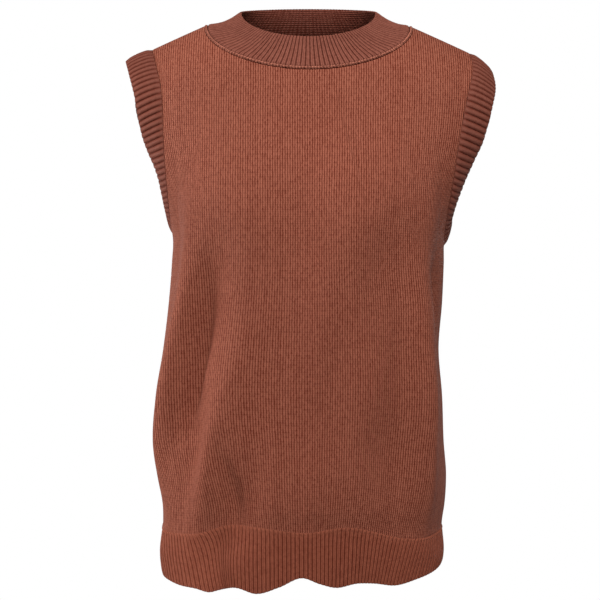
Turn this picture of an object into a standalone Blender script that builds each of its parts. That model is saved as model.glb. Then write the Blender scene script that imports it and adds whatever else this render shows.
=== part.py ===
"""Knitted sweater vest, worn and hollow, built the way it is made.

A jersey front and back hang from the shoulders as one open tube. Rib bands finish the hem, the neck
and both armholes, and a small linked roll joins the neckband to the body. Every piece is a thin wall.
Metres, +Z up, front towards -Y. The origin lies between the two high shoulder points.
"""
import math

import bpy
import numpy as np

# Cloth
WALL = 0.0020                 # jersey wall
RIB_WALL = 0.0018             # rib wall below its grooves
SEAM_GAP = 0.0003             # space between two pieces at a seam
BLUNTNESS = 2.4               # exponent of the body's cross-section, 2 being an ellipse

# Shoulders and neck
SHOULDER_SLOPE = 0.475        # fall of the shoulder seam, height over reach
SHOULDER_SOFTNESS = 0.045     # rounds the seam's line where it would cross the centre plane
SHOULDER_START = 0.0833       # softened reach at which the line is level with the origin
SHOULDER_ROLL = 0.065         # height over which the cloth turns over the shoulder
NECK_CENTRE = 0.0015          # the neck sits a little to the wearer's left of the origin
NECK_REACH = 0.108            # half-width of the neck seam
FRONT_NECK_DROP = 0.053
BACK_NECK_DROP = 0.006
SEAM_ROLL_RADIUS = 0.0018
SEAM_ROLL_SINK = 0.0002       # the roll's axis lies this far under the cloth's face
BAND_TOP_REACH = 0.0697
BAND_TOP_FRONT = 0.056
BAND_TOP_BACK = 0.050
BAND_TOP_HEIGHT = 0.0
BAND_TOP_FRONT_DROP = 0.033
BAND_TOP_BACK_RISE = 0.011
NECK_HOLLOW = 0.0032          # the neckband dips this far between its two edges

# Armholes
LEFT, RIGHT = -1, 1
FRONT, BACK = -1, 1
TIP_REACH = {LEFT: 0.161, RIGHT: 0.169}          # shoulder seam's outer end
UNDERARM_HEIGHT = {LEFT: -0.232, RIGHT: -0.244}
ARMHOLE_BAND_WIDTH = 0.030
ARMHOLE_SWELL = 0.0015        # an armhole band bulges this far between its two edges

# Ribs
HEM_SEAM_HEIGHT = -0.528
HEM_RIBS = 96                 # on each half of the hem
ARMHOLE_RIBS = 80
NECK_RIBS = 120
HEM_RIB_RISE = 0.0009
ARMHOLE_RIB_RISE = 0.0013
NECK_RIB_RISE = 0.0010

HEM_COLUMNS = 2               # columns of points to a rib: one in its groove, the rest on its top
ARMHOLE_COLUMNS = 3
NECK_RIB_COLUMNS = 2
HEM_INNER_STEP = 4            # the plain inner face keeps one column in so many
RING_INNER_STEP = 6
ARMHOLE_LAYERS = (0.0, 0.35, 0.7, 1.0)        # rows of points, as shares of the band's width
NECK_LAYERS = (0.0, 0.5, 1.0)
HEM_LAYERS = (0.5, 1.0)                       # rows below the one at the seam
SEAM_ROLL_SIDES = 6

# Grid
LOWER_ROWS = 16
ROW_CROWDING = 1.1            # above 1, the lower rows draw together towards the hem
UPPER_ROWS = 12
SHOULDER_COLUMNS = 6
NECK_COLUMNS = 20
SHIFT_FADE = 3                # how fast an armhole's pull on the columns dies away

# Body sections: name, height, left half-width, right half-width, front depth, back depth
SECTIONS = (
    ("neck side", 0.000, 0.1920, 0.2220, 0.0580, 0.0640),
    ("shoulder", -0.045, 0.1900, 0.2150, 0.0670, 0.0780),
    ("upper chest", -0.090, 0.1840, 0.2080, 0.0820, 0.0920),
    ("armhole middle", -0.130, 0.1750, 0.1930, 0.0940, 0.1000),
    ("chest", -0.165, 0.1625, 0.1750, 0.1030, 0.1040),
    ("armhole low", -0.200, 0.1490, 0.1560, 0.1100, 0.1050),
    ("underarm", -0.235, 0.1390, 0.1425, 0.1150, 0.1035),
    ("bust", -0.262, 0.1400, 0.1415, 0.1160, 0.1010),
    ("rib cage", -0.300, 0.1430, 0.1400, 0.1150, 0.0990),
    ("waist", -0.350, 0.1490, 0.1365, 0.1115, 0.0970),
    ("high hip", -0.400, 0.1570, 0.1400, 0.1085, 0.0970),
    ("blouse", -0.445, 0.1590, 0.1415, 0.1075, 0.0985),
    ("low blouse", -0.480, 0.1535, 0.1440, 0.1080, 0.1000),
    ("tuck", -0.508, 0.1485, 0.1425, 0.1055, 0.0990),
    ("hem seam", -0.530, 0.1485, 0.1395, 0.1000, 0.0955),
    ("hem middle", -0.558, 0.1510, 0.1410, 0.0990, 0.0955),
    ("hem edge", -0.590, 0.1480, 0.1350, 0.0985, 0.0945),
)

# Armhole seam: name, share of its height, left and right angle from the front centre, from the back
# centre, how far the band leans in towards the arm, left and right, and how far along the seam,
# towards the underarm, a rib's outer end lies below its root
ARMHOLE_SEAM = (
    ("underarm", 0.00, 93.0, 87.0, 87.0, 93.0, 0.985, 0.96, 0.000),
    ("turn", 0.02, 85.0, 81.5, 81.5, 85.0, 0.98, 0.96, 0.012),
    ("low", 0.07, 78.5, 76.5, 76.5, 78.5, 0.97, 0.94, 0.022),
    ("lower", 0.15, 73.0, 71.5, 72.0, 73.0, 0.95, 0.90, 0.027),
    ("front of the arm", 0.25, 69.6, 68.4, 69.5, 70.0, 0.91, 0.84, 0.022),
    ("middle", 0.40, 67.4, 66.5, 67.6, 67.8, 0.78, 0.72, 0.014),
    ("upper", 0.55, 67.2, 67.0, 67.5, 67.5, 0.62, 0.53, 0.007),
    ("high", 0.75, 69.2, 69.9, 69.5, 70.0, 0.42, 0.48, 0.002),
    ("near the tip", 0.91, 73.2, 73.4, 71.0, 70.6, 0.38, 0.60, 0.000),
    ("tip", 1.00, 75.6, 74.2, 74.0, 73.0, 0.40, 0.64, 0.000),
)

FOLD_OVERRUN = 0.1            # share of its fading length by which a fold passes its two ends

# Large folds: name, side, angle and height of the top, of the bottom, half-width, rise
FOLDS = (
    ("left diagonal valley", FRONT, -38, -0.237, -76, -0.535, 0.0145, -0.0135),
    ("left diagonal ridge", FRONT, -30, -0.315, -57, -0.555, 0.019, 0.0120),
    ("left pinch", FRONT, -28, -0.450, -50, -0.572, 0.024, -0.0105),
    ("left side roll", FRONT, -48, -0.175, -77, -0.575, 0.019, 0.0170),
    ("left blouse hollow", FRONT, -50, -0.378, -59, -0.517, 0.019, -0.0110),
    ("middle swell", FRONT, 22, -0.145, 8, -0.420, 0.030, 0.0125),
    ("right belly ridge", FRONT, 32, -0.270, 23, -0.505, 0.025, 0.0110),
    ("right side ridge", FRONT, 55, -0.145, 52, -0.530, 0.030, 0.0140),
    ("right side valley", FRONT, 58, -0.235, 72, -0.355, 0.018, -0.0110),
    ("right low roll", FRONT, 48, -0.270, 60, -0.555, 0.016, 0.0130),
    ("right hip hollow", FRONT, 32, -0.400, 48, -0.532, 0.026, -0.0050),
    ("back left valley", BACK, -44, -0.240, -66, -0.480, 0.014, -0.0060),
    ("back left ridge", BACK, -30, -0.260, -48, -0.510, 0.017, 0.0050),
    ("back right valley", BACK, 48, -0.260, 64, -0.490, 0.014, -0.0060),
    ("back right ridge", BACK, 34, -0.250, 50, -0.515, 0.016, 0.0050),
    ("back middle swell", BACK, -4, -0.300, 3, -0.470, 0.024, 0.0030),
)

# The chest's swells: name, side, reach and height of the start, of the end, half-width, rise
SWELLS = (
    ("left chest", FRONT, -0.130, -0.205, -0.018, -0.207, 0.052, 0.0120),
    ("right chest", FRONT, -0.005, -0.203, 0.130, -0.205, 0.060, 0.0120),
    ("middle chest", FRONT, -0.060, -0.183, 0.100, -0.183, 0.055, 0.0065),
)

# Joint of body and hem band: name, side, angle, how far it stands above its mean height
HEM_JOINT = (
    ("left side", FRONT, -93, 0.000),
    ("left hip", FRONT, -62, -0.006),
    ("under the pinch", FRONT, -54, -0.004),
    ("left gather", FRONT, -45, 0.004),
    ("left middle", FRONT, -30, 0.004),
    ("centre", FRONT, 0, -0.001),
    ("right middle", FRONT, 24, 0.004),
    ("right gather", FRONT, 36, -0.001),
    ("right hip", FRONT, 48, -0.008),
    ("right side", FRONT, 87, -0.004),
    ("left side", BACK, -87, 0.000),
    ("left gather", BACK, -40, 0.003),
    ("centre", BACK, 5, -0.002),
    ("right gather", BACK, 42, 0.003),
    ("right side", BACK, 93, -0.004),
)

# Hem edge: name, side, angle, height; it rises and falls in slack waves
HEM_EDGE = (
    ("left side", FRONT, -93, -0.5790),
    ("left corner", FRONT, -75, -0.5837),
    ("left swell", FRONT, -65, -0.5873),
    ("before the pinch", FRONT, -57, -0.5884),
    ("left pinch", FRONT, -50, -0.5907),
    ("after the pinch", FRONT, -46, -0.5880),
    ("left lift", FRONT, -39, -0.5848),
    ("left middle dip", FRONT, -28, -0.5902),
    ("left rise", FRONT, -16, -0.5835),
    ("centre lift", FRONT, -3, -0.5742),
    ("right rise", FRONT, 7, -0.5800),
    ("right middle dip", FRONT, 16, -0.5838),
    ("right middle lift", FRONT, 28, -0.5800),
    ("right lift", FRONT, 36, -0.5806),
    ("right front dip", FRONT, 47, -0.5838),
    ("right corner", FRONT, 59, -0.5794),
    ("right turn", FRONT, 70, -0.5750),
    ("right side", FRONT, 87, -0.5670),
    ("left side", BACK, -87, -0.5790),
    ("left dip", BACK, -52, -0.5880),
    ("left lift", BACK, -33, -0.5820),
    ("middle dip", BACK, -8, -0.5880),
    ("middle lift", BACK, 14, -0.5800),
    ("right dip", BACK, 40, -0.5860),
    ("right lift", BACK, 62, -0.5770),
    ("right side", BACK, 93, -0.5670),
)

# Colours and roughness of the knit
JERSEY_COLOUR = (0.235, 0.080, 0.048, 1.0)
RIB_COLOUR = (0.195, 0.064, 0.040, 1.0)
KNIT_ROUGHNESS = 0.92
SHARP_ANGLE = math.radians(40)


def clear_scene():
    """Take every object out of the scene."""
    for item in list(bpy.data.objects):
        bpy.data.objects.remove(item, do_unlink=True)


def smooth_curve(knots, values, at):
    """Cubic curve through the knots, its slopes from the neighbouring knots; knots rise."""
    knots = np.asarray(knots, float)
    values = np.asarray(values, float)
    at = np.clip(at, knots[0], knots[-1])
    slopes = np.gradient(values, knots)
    cell = np.clip(np.searchsorted(knots, at, side="right") - 1, 0, len(knots) - 2)
    span = knots[cell + 1] - knots[cell]
    t = (at - knots[cell]) / span
    start = values[cell] * (1 + 2 * t) * (1 - t) ** 2 + slopes[cell] * span * t * (1 - t) ** 2
    end = values[cell + 1] * t * t * (3 - 2 * t) + slopes[cell + 1] * span * t * t * (t - 1)
    return start + end


def section_size(column, height):
    """One column of the section table, read smoothly at a height."""
    rows = SECTIONS[::-1]
    return smooth_curve([row[1] for row in rows], [row[column] for row in rows], height)


def shoulder_height(reach):
    """Height of the shoulder seam at a distance from the centre plane."""
    return -SHOULDER_SLOPE * (np.hypot(reach, SHOULDER_SOFTNESS) - SHOULDER_START)


def section_radius(side, angle, height):
    """Distance from the axis to the cloth at an angle from the centre of that side."""
    sine, cosine = np.sin(angle), np.cos(angle)
    width = np.where(sine < 0, section_size(2, height), section_size(3, height))
    near, far = (4, 5) if side == FRONT else (5, 4)
    depth = np.where(cosine >= 0, section_size(near, height), section_size(far, height))
    total = (np.abs(sine) / width) ** BLUNTNESS + (np.abs(cosine) / depth) ** BLUNTNESS
    return total ** (-1 / BLUNTNESS)


def fold_rise(side, angle, radius, height):
    """Sum of the folds: a bell across each fold's line, fading in and out along it."""
    rise = np.zeros(np.broadcast(angle, height).shape)
    for _, fold_side, top_angle, top, bottom_angle, bottom, half_width, fold in FOLDS:
        along = (top - height) / (top - bottom)
        line = np.radians(top_angle + (bottom_angle - top_angle) * np.clip(along, 0, 1))
        turn = angle if side == fold_side else np.sign(angle) * math.pi - angle
        across = (turn - line) * radius / half_width
        stretch = FOLD_OVERRUN + (1 - 2 * FOLD_OVERRUN) * along
        fade = np.sin(np.pi * np.clip(stretch, 0, 1)) ** 2
        rise = rise + fold * fade * np.exp(-across ** 2)
    return rise


def swell_rise(side, angle, radius, height):
    """Sum of the chest's swells: a bell across each line, fading to nothing at its two ends."""
    rise = np.zeros(np.broadcast(angle, height).shape)
    for _, swell_side, start_reach, start, end_reach, end, half_width, swell in SWELLS:
        turn = angle if side == swell_side else np.sign(angle) * math.pi - angle
        first, last = angle_at(swell_side, start_reach, start), angle_at(swell_side, end_reach, end)
        first = float(section_radius(swell_side, np.array(first), start)) * first
        last = float(section_radius(swell_side, np.array(last), end)) * last
        length = math.hypot(last - first, end - start)
        along, up = (last - first) / length, (end - start) / length
        over, above = turn * radius - first, height - start
        share = np.clip((over * along + above * up) / length, 0, 1)
        offset = above * along - over * up
        rise = rise + swell * np.sin(np.pi * share) * np.exp(-(offset / half_width) ** 2)
    return rise


def joint_rise(side, angle):
    """How far the joint of body and hem band stands above its mean height."""
    rows = [row for row in HEM_JOINT if row[1] == side]
    return smooth_curve([math.radians(row[2]) for row in rows], [row[3] for row in rows], angle)


def body_point(side, angle, height):
    """Points of the cloth's face for arrays of angles (from that side's centre) and heights."""
    radius = section_radius(side, angle, height)
    radius = (radius + fold_rise(side, angle, radius, height)
              + swell_rise(side, angle, radius, height))
    x = radius * np.sin(angle)
    lift = np.clip((shoulder_height(x) - height) / SHOULDER_ROLL, 0, 1)
    y = side * radius * np.cos(angle) * np.sqrt(1 - (1 - lift) ** 2)
    return np.stack([x, y, height + 0 * x], axis=-1)


def angle_at(side, reach, height):
    """Angle at which the section reaches a distance from the centre plane."""
    width = section_size(2 if reach < 0 else 3, height)
    depth = section_size(4 if side == FRONT else 5, height)
    share = max(0.0, 1 - (abs(reach) / width) ** BLUNTNESS) ** (1 / BLUNTNESS)
    return math.atan2(reach, depth * share)


def unit(vectors):
    """The same vectors, one long."""
    return vectors / np.maximum(np.linalg.norm(vectors, axis=-1, keepdims=True), 1e-12)


def neck_seam(side, turn):
    """Reach and height of the neck seam at a turn of -90 to 90 degrees from its middle."""
    drop = FRONT_NECK_DROP if side == FRONT else BACK_NECK_DROP
    reach = NECK_CENTRE + NECK_REACH * math.sin(turn)
    left, right = shoulder_height(NECK_CENTRE + NECK_REACH * np.array([-1, 1]))
    corner = 0.5 * (left + right) + 0.5 * (right - left) * math.sin(turn)
    return reach, float(corner) - drop * math.cos(turn)


def top_edge(side):
    """Angles and heights of a panel's top edge: shoulder seam, neck seam, shoulder seam."""
    points = []
    for share in np.arange(SHOULDER_COLUMNS) / SHOULDER_COLUMNS:
        reach = -TIP_REACH[LEFT] + (TIP_REACH[LEFT] + NECK_CENTRE - NECK_REACH) * share
        points.append((reach, float(shoulder_height(reach))))
    for share in np.arange(NECK_COLUMNS + 1) / NECK_COLUMNS:
        points.append(neck_seam(side, 0.5 * math.pi * math.sin(math.pi * (share - 0.5))))
    for share in np.arange(1, SHOULDER_COLUMNS + 1) / SHOULDER_COLUMNS:
        reach = NECK_CENTRE + NECK_REACH + (TIP_REACH[RIGHT] - NECK_CENTRE - NECK_REACH) * share
        points.append((reach, float(shoulder_height(reach))))
    angles = np.array([angle_at(side, reach, height) for reach, height in points])
    return angles, np.array([height for _, height in points])


def armhole_rows():
    """Shares of the armhole's height at the panel's rows, closest at the underarm and the shoulder."""
    return 0.5 - 0.5 * np.cos(np.pi * np.arange(UPPER_ROWS + 1) / UPPER_ROWS)


def armhole_edge(side, hand, share):
    """Angle and height of the armhole seam at a share of its height."""
    column = (2 if side == FRONT else 4) + (0 if hand == LEFT else 1)
    tip_height = float(shoulder_height(TIP_REACH[hand]))
    angles = [math.radians(row[column]) for row in ARMHOLE_SEAM]
    angles[-1] = abs(angle_at(side, hand * TIP_REACH[hand], tip_height))
    angle = smooth_curve([row[1] for row in ARMHOLE_SEAM], angles, share)
    return hand * angle, UNDERARM_HEIGHT[hand] + (tip_height - UNDERARM_HEIGHT[hand]) * share


def panel_map(side):
    """Angles and heights of a panel's grid, bottom row first, left column first.

    Above the underarm a row blends from even columns to the top edge's columns. What then misses an
    armhole seam is made up by a shift that dies away from that side.
    """
    top = top_edge(side)
    across = np.linspace(0, 1, len(top[0]))
    rows = armhole_rows()
    rise = rows[:, None]
    lefts, rights = armhole_edge(side, LEFT, rows), armhole_edge(side, RIGHT, rows)
    upper = []
    for left, right, edge in zip(lefts, rights, top):
        low = left[0] + (right[0] - left[0]) * across
        blend = low + rise * (edge - low)
        left_miss = left - (left[0] + (left[-1] - left[0]) * rows)
        right_miss = right - (right[0] + (right[-1] - right[0]) * rows)
        upper.append(blend + left_miss[:, None] * (1 - across) ** SHIFT_FADE
                     + right_miss[:, None] * across ** SHIFT_FADE)
    angle, height = upper
    steps = ((np.arange(LOWER_ROWS) / LOWER_ROWS) ** ROW_CROWDING)[:, None]
    seam = HEM_SEAM_HEIGHT + joint_rise(side, angle[:1])
    low_height = seam + (height[:1] - seam) * steps
    low_angle = np.repeat(angle[:1], LOWER_ROWS, axis=0)
    return np.vstack([low_angle, angle]), np.vstack([low_height, height])


def body_normal(side, angle, height):
    """Outward direction of the cloth's face, from small steps over it."""
    step = 0.0005
    turn = step / section_radius(side, angle, height)
    across = body_point(side, angle + turn, height) - body_point(side, angle - turn, height)
    upward = body_point(side, angle, height + step) - body_point(side, angle, height - step)
    return unit(np.cross(across, upward) * -side)


def make_panel(side):
    """Face points and outward directions of the front or back panel, seams opened by the gap."""
    angle, height = panel_map(side)
    inset = 0.5 * SEAM_GAP / section_radius(side, angle, height)
    below = slice(0, LOWER_ROWS + 1)
    angle[below, 0] += inset[below, 0]
    angle[below, -1] -= inset[below, -1]
    points = body_point(side, angle, height)
    normals = body_normal(side, angle, height)
    for columns in (slice(0, SHOULDER_COLUMNS + 1), slice(-SHOULDER_COLUMNS - 1, None)):
        reach = points[-1, columns, 0]
        slope = SHOULDER_SLOPE * reach / np.hypot(reach, SHOULDER_SOFTNESS)
        points[-1, columns, 1] = side * 0.5 * SEAM_GAP
        normals[-1, columns] = unit(np.column_stack([slope, 0 * slope, 1 + 0 * slope]))
    return points, normals


def resample(points, count, closed):
    """Even steps along a line of points; extra values in each row go along."""
    line = np.vstack([points, points[:1]]) if closed else points
    length = np.concatenate([[0], np.cumsum(np.linalg.norm(np.diff(line[:, :3], axis=0), axis=1))])
    at = np.linspace(0, length[-1], count + 1)
    at = at[:-1] if closed else at
    return np.stack([np.interp(at, length, line[:, k]) for k in range(line.shape[1])], axis=1)


def grid_normals(points, closed):
    """Outward directions of a band's grid, rows across it and columns along it."""
    if closed:
        along = np.roll(points, -1, axis=1) - np.roll(points, 1, axis=1)
    else:
        along = np.gradient(points, axis=1)
    return unit(np.cross(along, np.gradient(points, axis=0)))


def off_the_seam(seam, facing, run):
    """Direction in the cloth, square to a seam's line, on the side that a band runs to."""
    along = np.roll(seam, -1, axis=0) - np.roll(seam, 1, axis=0)
    square = unit(np.cross(along, facing))
    return square * np.sign(np.sum(square * run, axis=1, keepdims=True))


def rib_wave(columns, per_rib):
    """0 in a groove and 1 on a rib, column by column."""
    return (np.arange(columns) % per_rib != 0).astype(float)


def stitch(outer, inner, ratio, closed):
    """Triangles between a fine line of corners and a coarse one, ratio to one."""
    faces = []
    half = ratio // 2
    steps = len(inner) if closed else len(inner) - 1
    for k in range(steps):
        after = inner[(k + 1) % len(inner)]
        fine = [outer[(k * ratio + j) % len(outer)] for j in range(ratio + 1)]
        faces += [(fine[j], inner[k], fine[j + 1]) for j in range(half)]
        faces.append((fine[half], inner[k], after))
        faces += [(fine[j], after, fine[j + 1]) for j in range(half, ratio)]
    return faces


def wall_faces(rows, columns, inner_columns, closed):
    """Faces of a closed wall: outer grid, inner grid, both long rims and, if open, both ends."""
    ratio = columns // inner_columns if closed else (columns - 1) // (inner_columns - 1)
    outer = np.arange(rows * columns).reshape(rows, columns)
    inner = rows * columns + np.arange(rows * inner_columns).reshape(rows, inner_columns)
    faces = []
    for grid, flip in ((outer, False), (inner, True)):
        width = grid.shape[1]
        for r in range(rows - 1):
            for c in range(width if closed else width - 1):
                after = (c + 1) % width
                face = (grid[r, c], grid[r, after], grid[r + 1, after], grid[r + 1, c])
                faces.append(face[::-1] if flip else face)
    faces += stitch(list(outer[0]), list(inner[0]), ratio, closed)
    faces += [face[::-1] for face in stitch(list(outer[-1]), list(inner[-1]), ratio, closed)]
    if not closed:
        for r in range(rows - 1):
            faces.append((outer[r, 0], outer[r + 1, 0], inner[r + 1, 0], inner[r, 0]))
            faces.append((outer[r + 1, -1], outer[r, -1], inner[r, -1], inner[r + 1, -1]))
    return [tuple(int(corner) for corner in face) for face in faces]


def add_piece(name, points, faces, material, collection):
    """Put one closed wall into the scene."""
    mesh = bpy.data.meshes.new(name)
    mesh.from_pydata([tuple(point) for point in points], [], faces)
    mesh.validate()
    mesh.shade_smooth()
    mesh.set_sharp_from_angle(angle=SHARP_ANGLE)
    mesh.materials.append(material)
    piece = bpy.data.objects.new(name, mesh)
    collection.objects.link(piece)
    return piece


def make_wall(outer, inner, closed):
    """Corner list and faces of a wall from its outer and inner grids."""
    corners = np.vstack([outer.reshape(-1, 3), inner.reshape(-1, 3)])
    return corners, wall_faces(outer.shape[0], outer.shape[1], inner.shape[1], closed)


def knit_material(name, colour):
    """Matt knit of one colour."""
    material = bpy.data.materials.new(name)
    material.use_nodes = True
    shader = material.node_tree.nodes["Principled BSDF"]
    shader.inputs["Base Color"].default_value = colour
    shader.inputs["Roughness"].default_value = KNIT_ROUGHNESS
    shader.inputs["Metallic"].default_value = 0.0
    material.diffuse_color = colour
    return material


def turned_round(grid):
    """The same ring, its columns in the other order from the same first one."""
    return np.roll(grid[:, ::-1], 1, axis=1)


def build_panel(name, side, grid, collection):
    """Front or back body."""
    points, normals = grid
    outer, inner = points, points - WALL * normals
    if side == BACK:
        outer, inner = outer[:, ::-1], inner[:, ::-1]
    corners, faces = make_wall(outer, inner, False)
    add_piece(name, corners, faces, knit_material(name + "_knit", JERSEY_COLOUR), collection)


def build_hem(name, side, grid, collection):
    """Half of the hem band, ribs upright, hanging from the panel's bottom edge."""
    points, normals = grid
    line = resample(np.hstack([points[0], normals[0]]), HEM_COLUMNS * HEM_RIBS, False)
    top, facing = line[:, :3], unit(line[:, 3:])
    angle = np.arctan2(top[:, 0], side * top[:, 1])
    rows = [row for row in HEM_EDGE if row[1] == side]
    edge = smooth_curve([math.radians(row[2]) for row in rows], [row[3] for row in rows], angle)
    start = top[:, 2] - SEAM_GAP
    layers = [np.column_stack([top[:, :2], start])]
    for share in HEM_LAYERS:
        height = start + (edge - start) * share
        layers.append(body_point(side, angle, height))
    grid_points = np.stack(layers[::-1])
    directions = np.stack([body_normal(side, angle, layer[:, 2]) for layer in grid_points])
    directions[-1] = facing
    ribs = HEM_RIB_RISE * rib_wave(len(top), HEM_COLUMNS)
    raised = grid_points + directions * ribs[None, :, None]
    inner = (grid_points - RIB_WALL * directions)[:, ::HEM_INNER_STEP]
    if side == BACK:
        raised, inner = raised[:, ::-1], inner[:, ::-1]
    corners, faces = make_wall(raised, inner, False)
    add_piece(name, corners, faces, knit_material(name + "_knit", RIB_COLOUR), collection)


def armhole_loop(hand, front, back):
    """Points, directions, lean and drift round an armhole, from the underarm up and down again."""
    column = 0 if hand == LEFT else -1
    lean_column = 6 if hand == LEFT else 7
    shares = [row[1] for row in ARMHOLE_SEAM]
    lean = smooth_curve(shares, [row[lean_column] for row in ARMHOLE_SEAM], armhole_rows())
    drift = smooth_curve(shares, [row[8] for row in ARMHOLE_SEAM], armhole_rows())
    halves = []
    for (points, normals), way in ((front, -1), (back, 1)):
        edge = slice(LOWER_ROWS, None)
        halves.append(np.column_stack([points[edge, column], normals[edge, column], lean, way * drift]))
    return np.vstack([halves[0], halves[1][::-1]])


def slide(ring, shift):
    """Points of a closed ring at its own columns plus a shift in columns, linearly between columns."""
    place = np.arange(len(ring)) + shift
    low = np.floor(place).astype(int)
    part = (place - low)[:, None]
    return ring[low % len(ring)] * (1 - part) + ring[(low + 1) % len(ring)] * part


def build_armhole(name, hand, front, back, collection):
    """Rib band round an armhole, its ribs slanting across it, leaning in towards the arm."""
    line = resample(armhole_loop(hand, front, back), ARMHOLE_COLUMNS * ARMHOLE_RIBS, True)
    seam, facing, lean = line[:, :3], unit(line[:, 3:6]), line[:, 6:7]
    spacing = np.linalg.norm(np.roll(seam, -1, axis=0) - seam, axis=1).mean()
    drift = line[:, 7] / spacing
    middle = 0.5 * (seam[:, 2].max() + seam[:, 2].min())
    inward = unit(np.column_stack([0 * seam[:, 0], -seam[:, 1], middle - seam[:, 2]]))
    outward = np.array([hand, 0.0, 0.0])
    run = unit(outward * np.sqrt(1 - lean ** 2) + inward * lean)
    start = seam + off_the_seam(seam, facing, run) * SEAM_GAP
    layers = []
    for share in ARMHOLE_LAYERS:
        swell = ARMHOLE_SWELL * 4 * share * (1 - share)
        layer = start + run * ARMHOLE_BAND_WIDTH * share + facing * swell
        layers.append(slide(layer, drift * share))
    grid = np.stack(layers)
    directions = grid_normals(grid, True)
    if np.sum(directions[1] * facing) < 0:
        directions = -directions
    directions[0] = facing
    ribs = ARMHOLE_RIB_RISE * rib_wave(len(seam), ARMHOLE_COLUMNS)
    raised = grid + directions * ribs[None, :, None]
    inner = (grid - RIB_WALL * directions)[:, ::RING_INNER_STEP]
    if hand == RIGHT:
        raised, inner = turned_round(raised), turned_round(inner)
    corners, faces = make_wall(raised, inner, True)
    add_piece(name, corners, faces, knit_material(name + "_knit", RIB_COLOUR), collection)


def neck_loop(front, back):
    """Points and directions round the neck seam, from the left corner by the front to the right."""
    neck = slice(SHOULDER_COLUMNS, SHOULDER_COLUMNS + NECK_COLUMNS + 1)
    near = np.hstack([front[0][-1, neck], front[1][-1, neck]])
    far = np.hstack([back[0][-1, neck], back[1][-1, neck]])[::-1]
    near[0] = 0.5 * (near[0] + far[-1])
    near[-1] = 0.5 * (near[-1] + far[0])
    return np.vstack([near, far[1:-1]])


def neck_top(seam):
    """Top edge of the neckband beside each point of its seam."""
    turn = np.arctan2((seam[:, 0] - NECK_CENTRE) / NECK_REACH, -seam[:, 1] / np.where(
        seam[:, 1] < 0, -seam[:, 1].min(), seam[:, 1].max()))
    facing_front = np.cos(turn) >= 0
    depth = np.where(facing_front, BAND_TOP_FRONT, BAND_TOP_BACK)
    rise = np.where(facing_front, -BAND_TOP_FRONT_DROP, -BAND_TOP_BACK_RISE)
    return np.column_stack([NECK_CENTRE + BAND_TOP_REACH * np.sin(turn), -depth * np.cos(turn),
                            BAND_TOP_HEIGHT + rise * np.cos(turn)])


def build_neck_roll(name, loop, collection):
    """Small round roll lying in the neck seam."""
    seam, facing = loop[:, :3], unit(loop[:, 3:])
    run = off_the_seam(seam, facing, neck_top(seam) - seam)
    axis = seam + run * (SEAM_GAP + SEAM_ROLL_RADIUS) - facing * SEAM_ROLL_SINK
    rings = []
    for k in range(SEAM_ROLL_SIDES):
        turn = 2 * math.pi * k / SEAM_ROLL_SIDES
        rings.append(axis + SEAM_ROLL_RADIUS * (facing * math.cos(turn) + run * math.sin(turn)))
    grid = np.stack(rings)
    count = len(seam)
    corner = np.arange(SEAM_ROLL_SIDES * count).reshape(SEAM_ROLL_SIDES, count)
    after = np.roll(corner, -1, axis=1)
    above = np.roll(corner, -1, axis=0)
    above_after = np.roll(after, -1, axis=0)
    quads = np.stack([corner, after, above_after, above], axis=-1).reshape(-1, 4)
    faces = [tuple(int(index) for index in quad) for quad in quads]
    add_piece(name, grid.reshape(-1, 3), faces, knit_material(name + "_knit", RIB_COLOUR), collection)


def build_neckband(name, loop, collection):
    """Rib neckband, ribs across it, leaning in towards the neck."""
    line = resample(loop, NECK_RIB_COLUMNS * NECK_RIBS, True)
    seam, facing = line[:, :3], unit(line[:, 3:])
    top = neck_top(seam)
    run = off_the_seam(seam, facing, top - seam)
    start = seam + run * (2 * SEAM_GAP + 2 * SEAM_ROLL_RADIUS)
    layers = []
    for share in NECK_LAYERS:
        layers.append(start + (top - start) * share - facing * NECK_HOLLOW * 4 * share * (1 - share))
    grid = np.stack(layers)
    directions = grid_normals(grid, True)
    directions[0] = facing
    ribs = NECK_RIB_RISE * rib_wave(len(seam), NECK_RIB_COLUMNS)
    raised = grid + directions * ribs[None, :, None]
    inner = (grid - RIB_WALL * directions)[:, ::RING_INNER_STEP]
    corners, faces = make_wall(raised, inner, True)
    add_piece(name, corners, faces, knit_material(name + "_knit", RIB_COLOUR), collection)


def build_vest():
    """All the pieces, in the order in which they are sewn."""
    clear_scene()
    collection = bpy.data.collections.new("sweater_vest")
    bpy.context.scene.collection.children.link(collection)
    front = make_panel(FRONT)
    back = make_panel(BACK)
    build_panel("front_body", FRONT, front, collection)
    build_panel("back_body", BACK, back, collection)
    build_hem("hem_band_front", FRONT, front, collection)
    build_hem("hem_band_back", BACK, back, collection)
    build_armhole("armhole_band_left", LEFT, front, back, collection)
    build_armhole("armhole_band_right", RIGHT, front, back, collection)
    loop = neck_loop(front, back)
    build_neck_roll("neck_seam_roll", loop, collection)
    build_neckband("neckband", loop, collection)


build_vest()
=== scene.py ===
"""Looks of a knitted sweater vest: jersey front and back, rib bands, a linked neck seam, a plain studio.

Each class holds one sub-assembly: its sizes are fields, and its methods work out the surfaces as numpy
grids and dress them. Metres, +Z up, the front towards -Y, the origin between the high shoulder points.
The tables are in millimetres and degrees, left and right as seen from the front.
"""

import enum
import logging
import math
from dataclasses import dataclass, field
from typing import Any, NamedTuple

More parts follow.
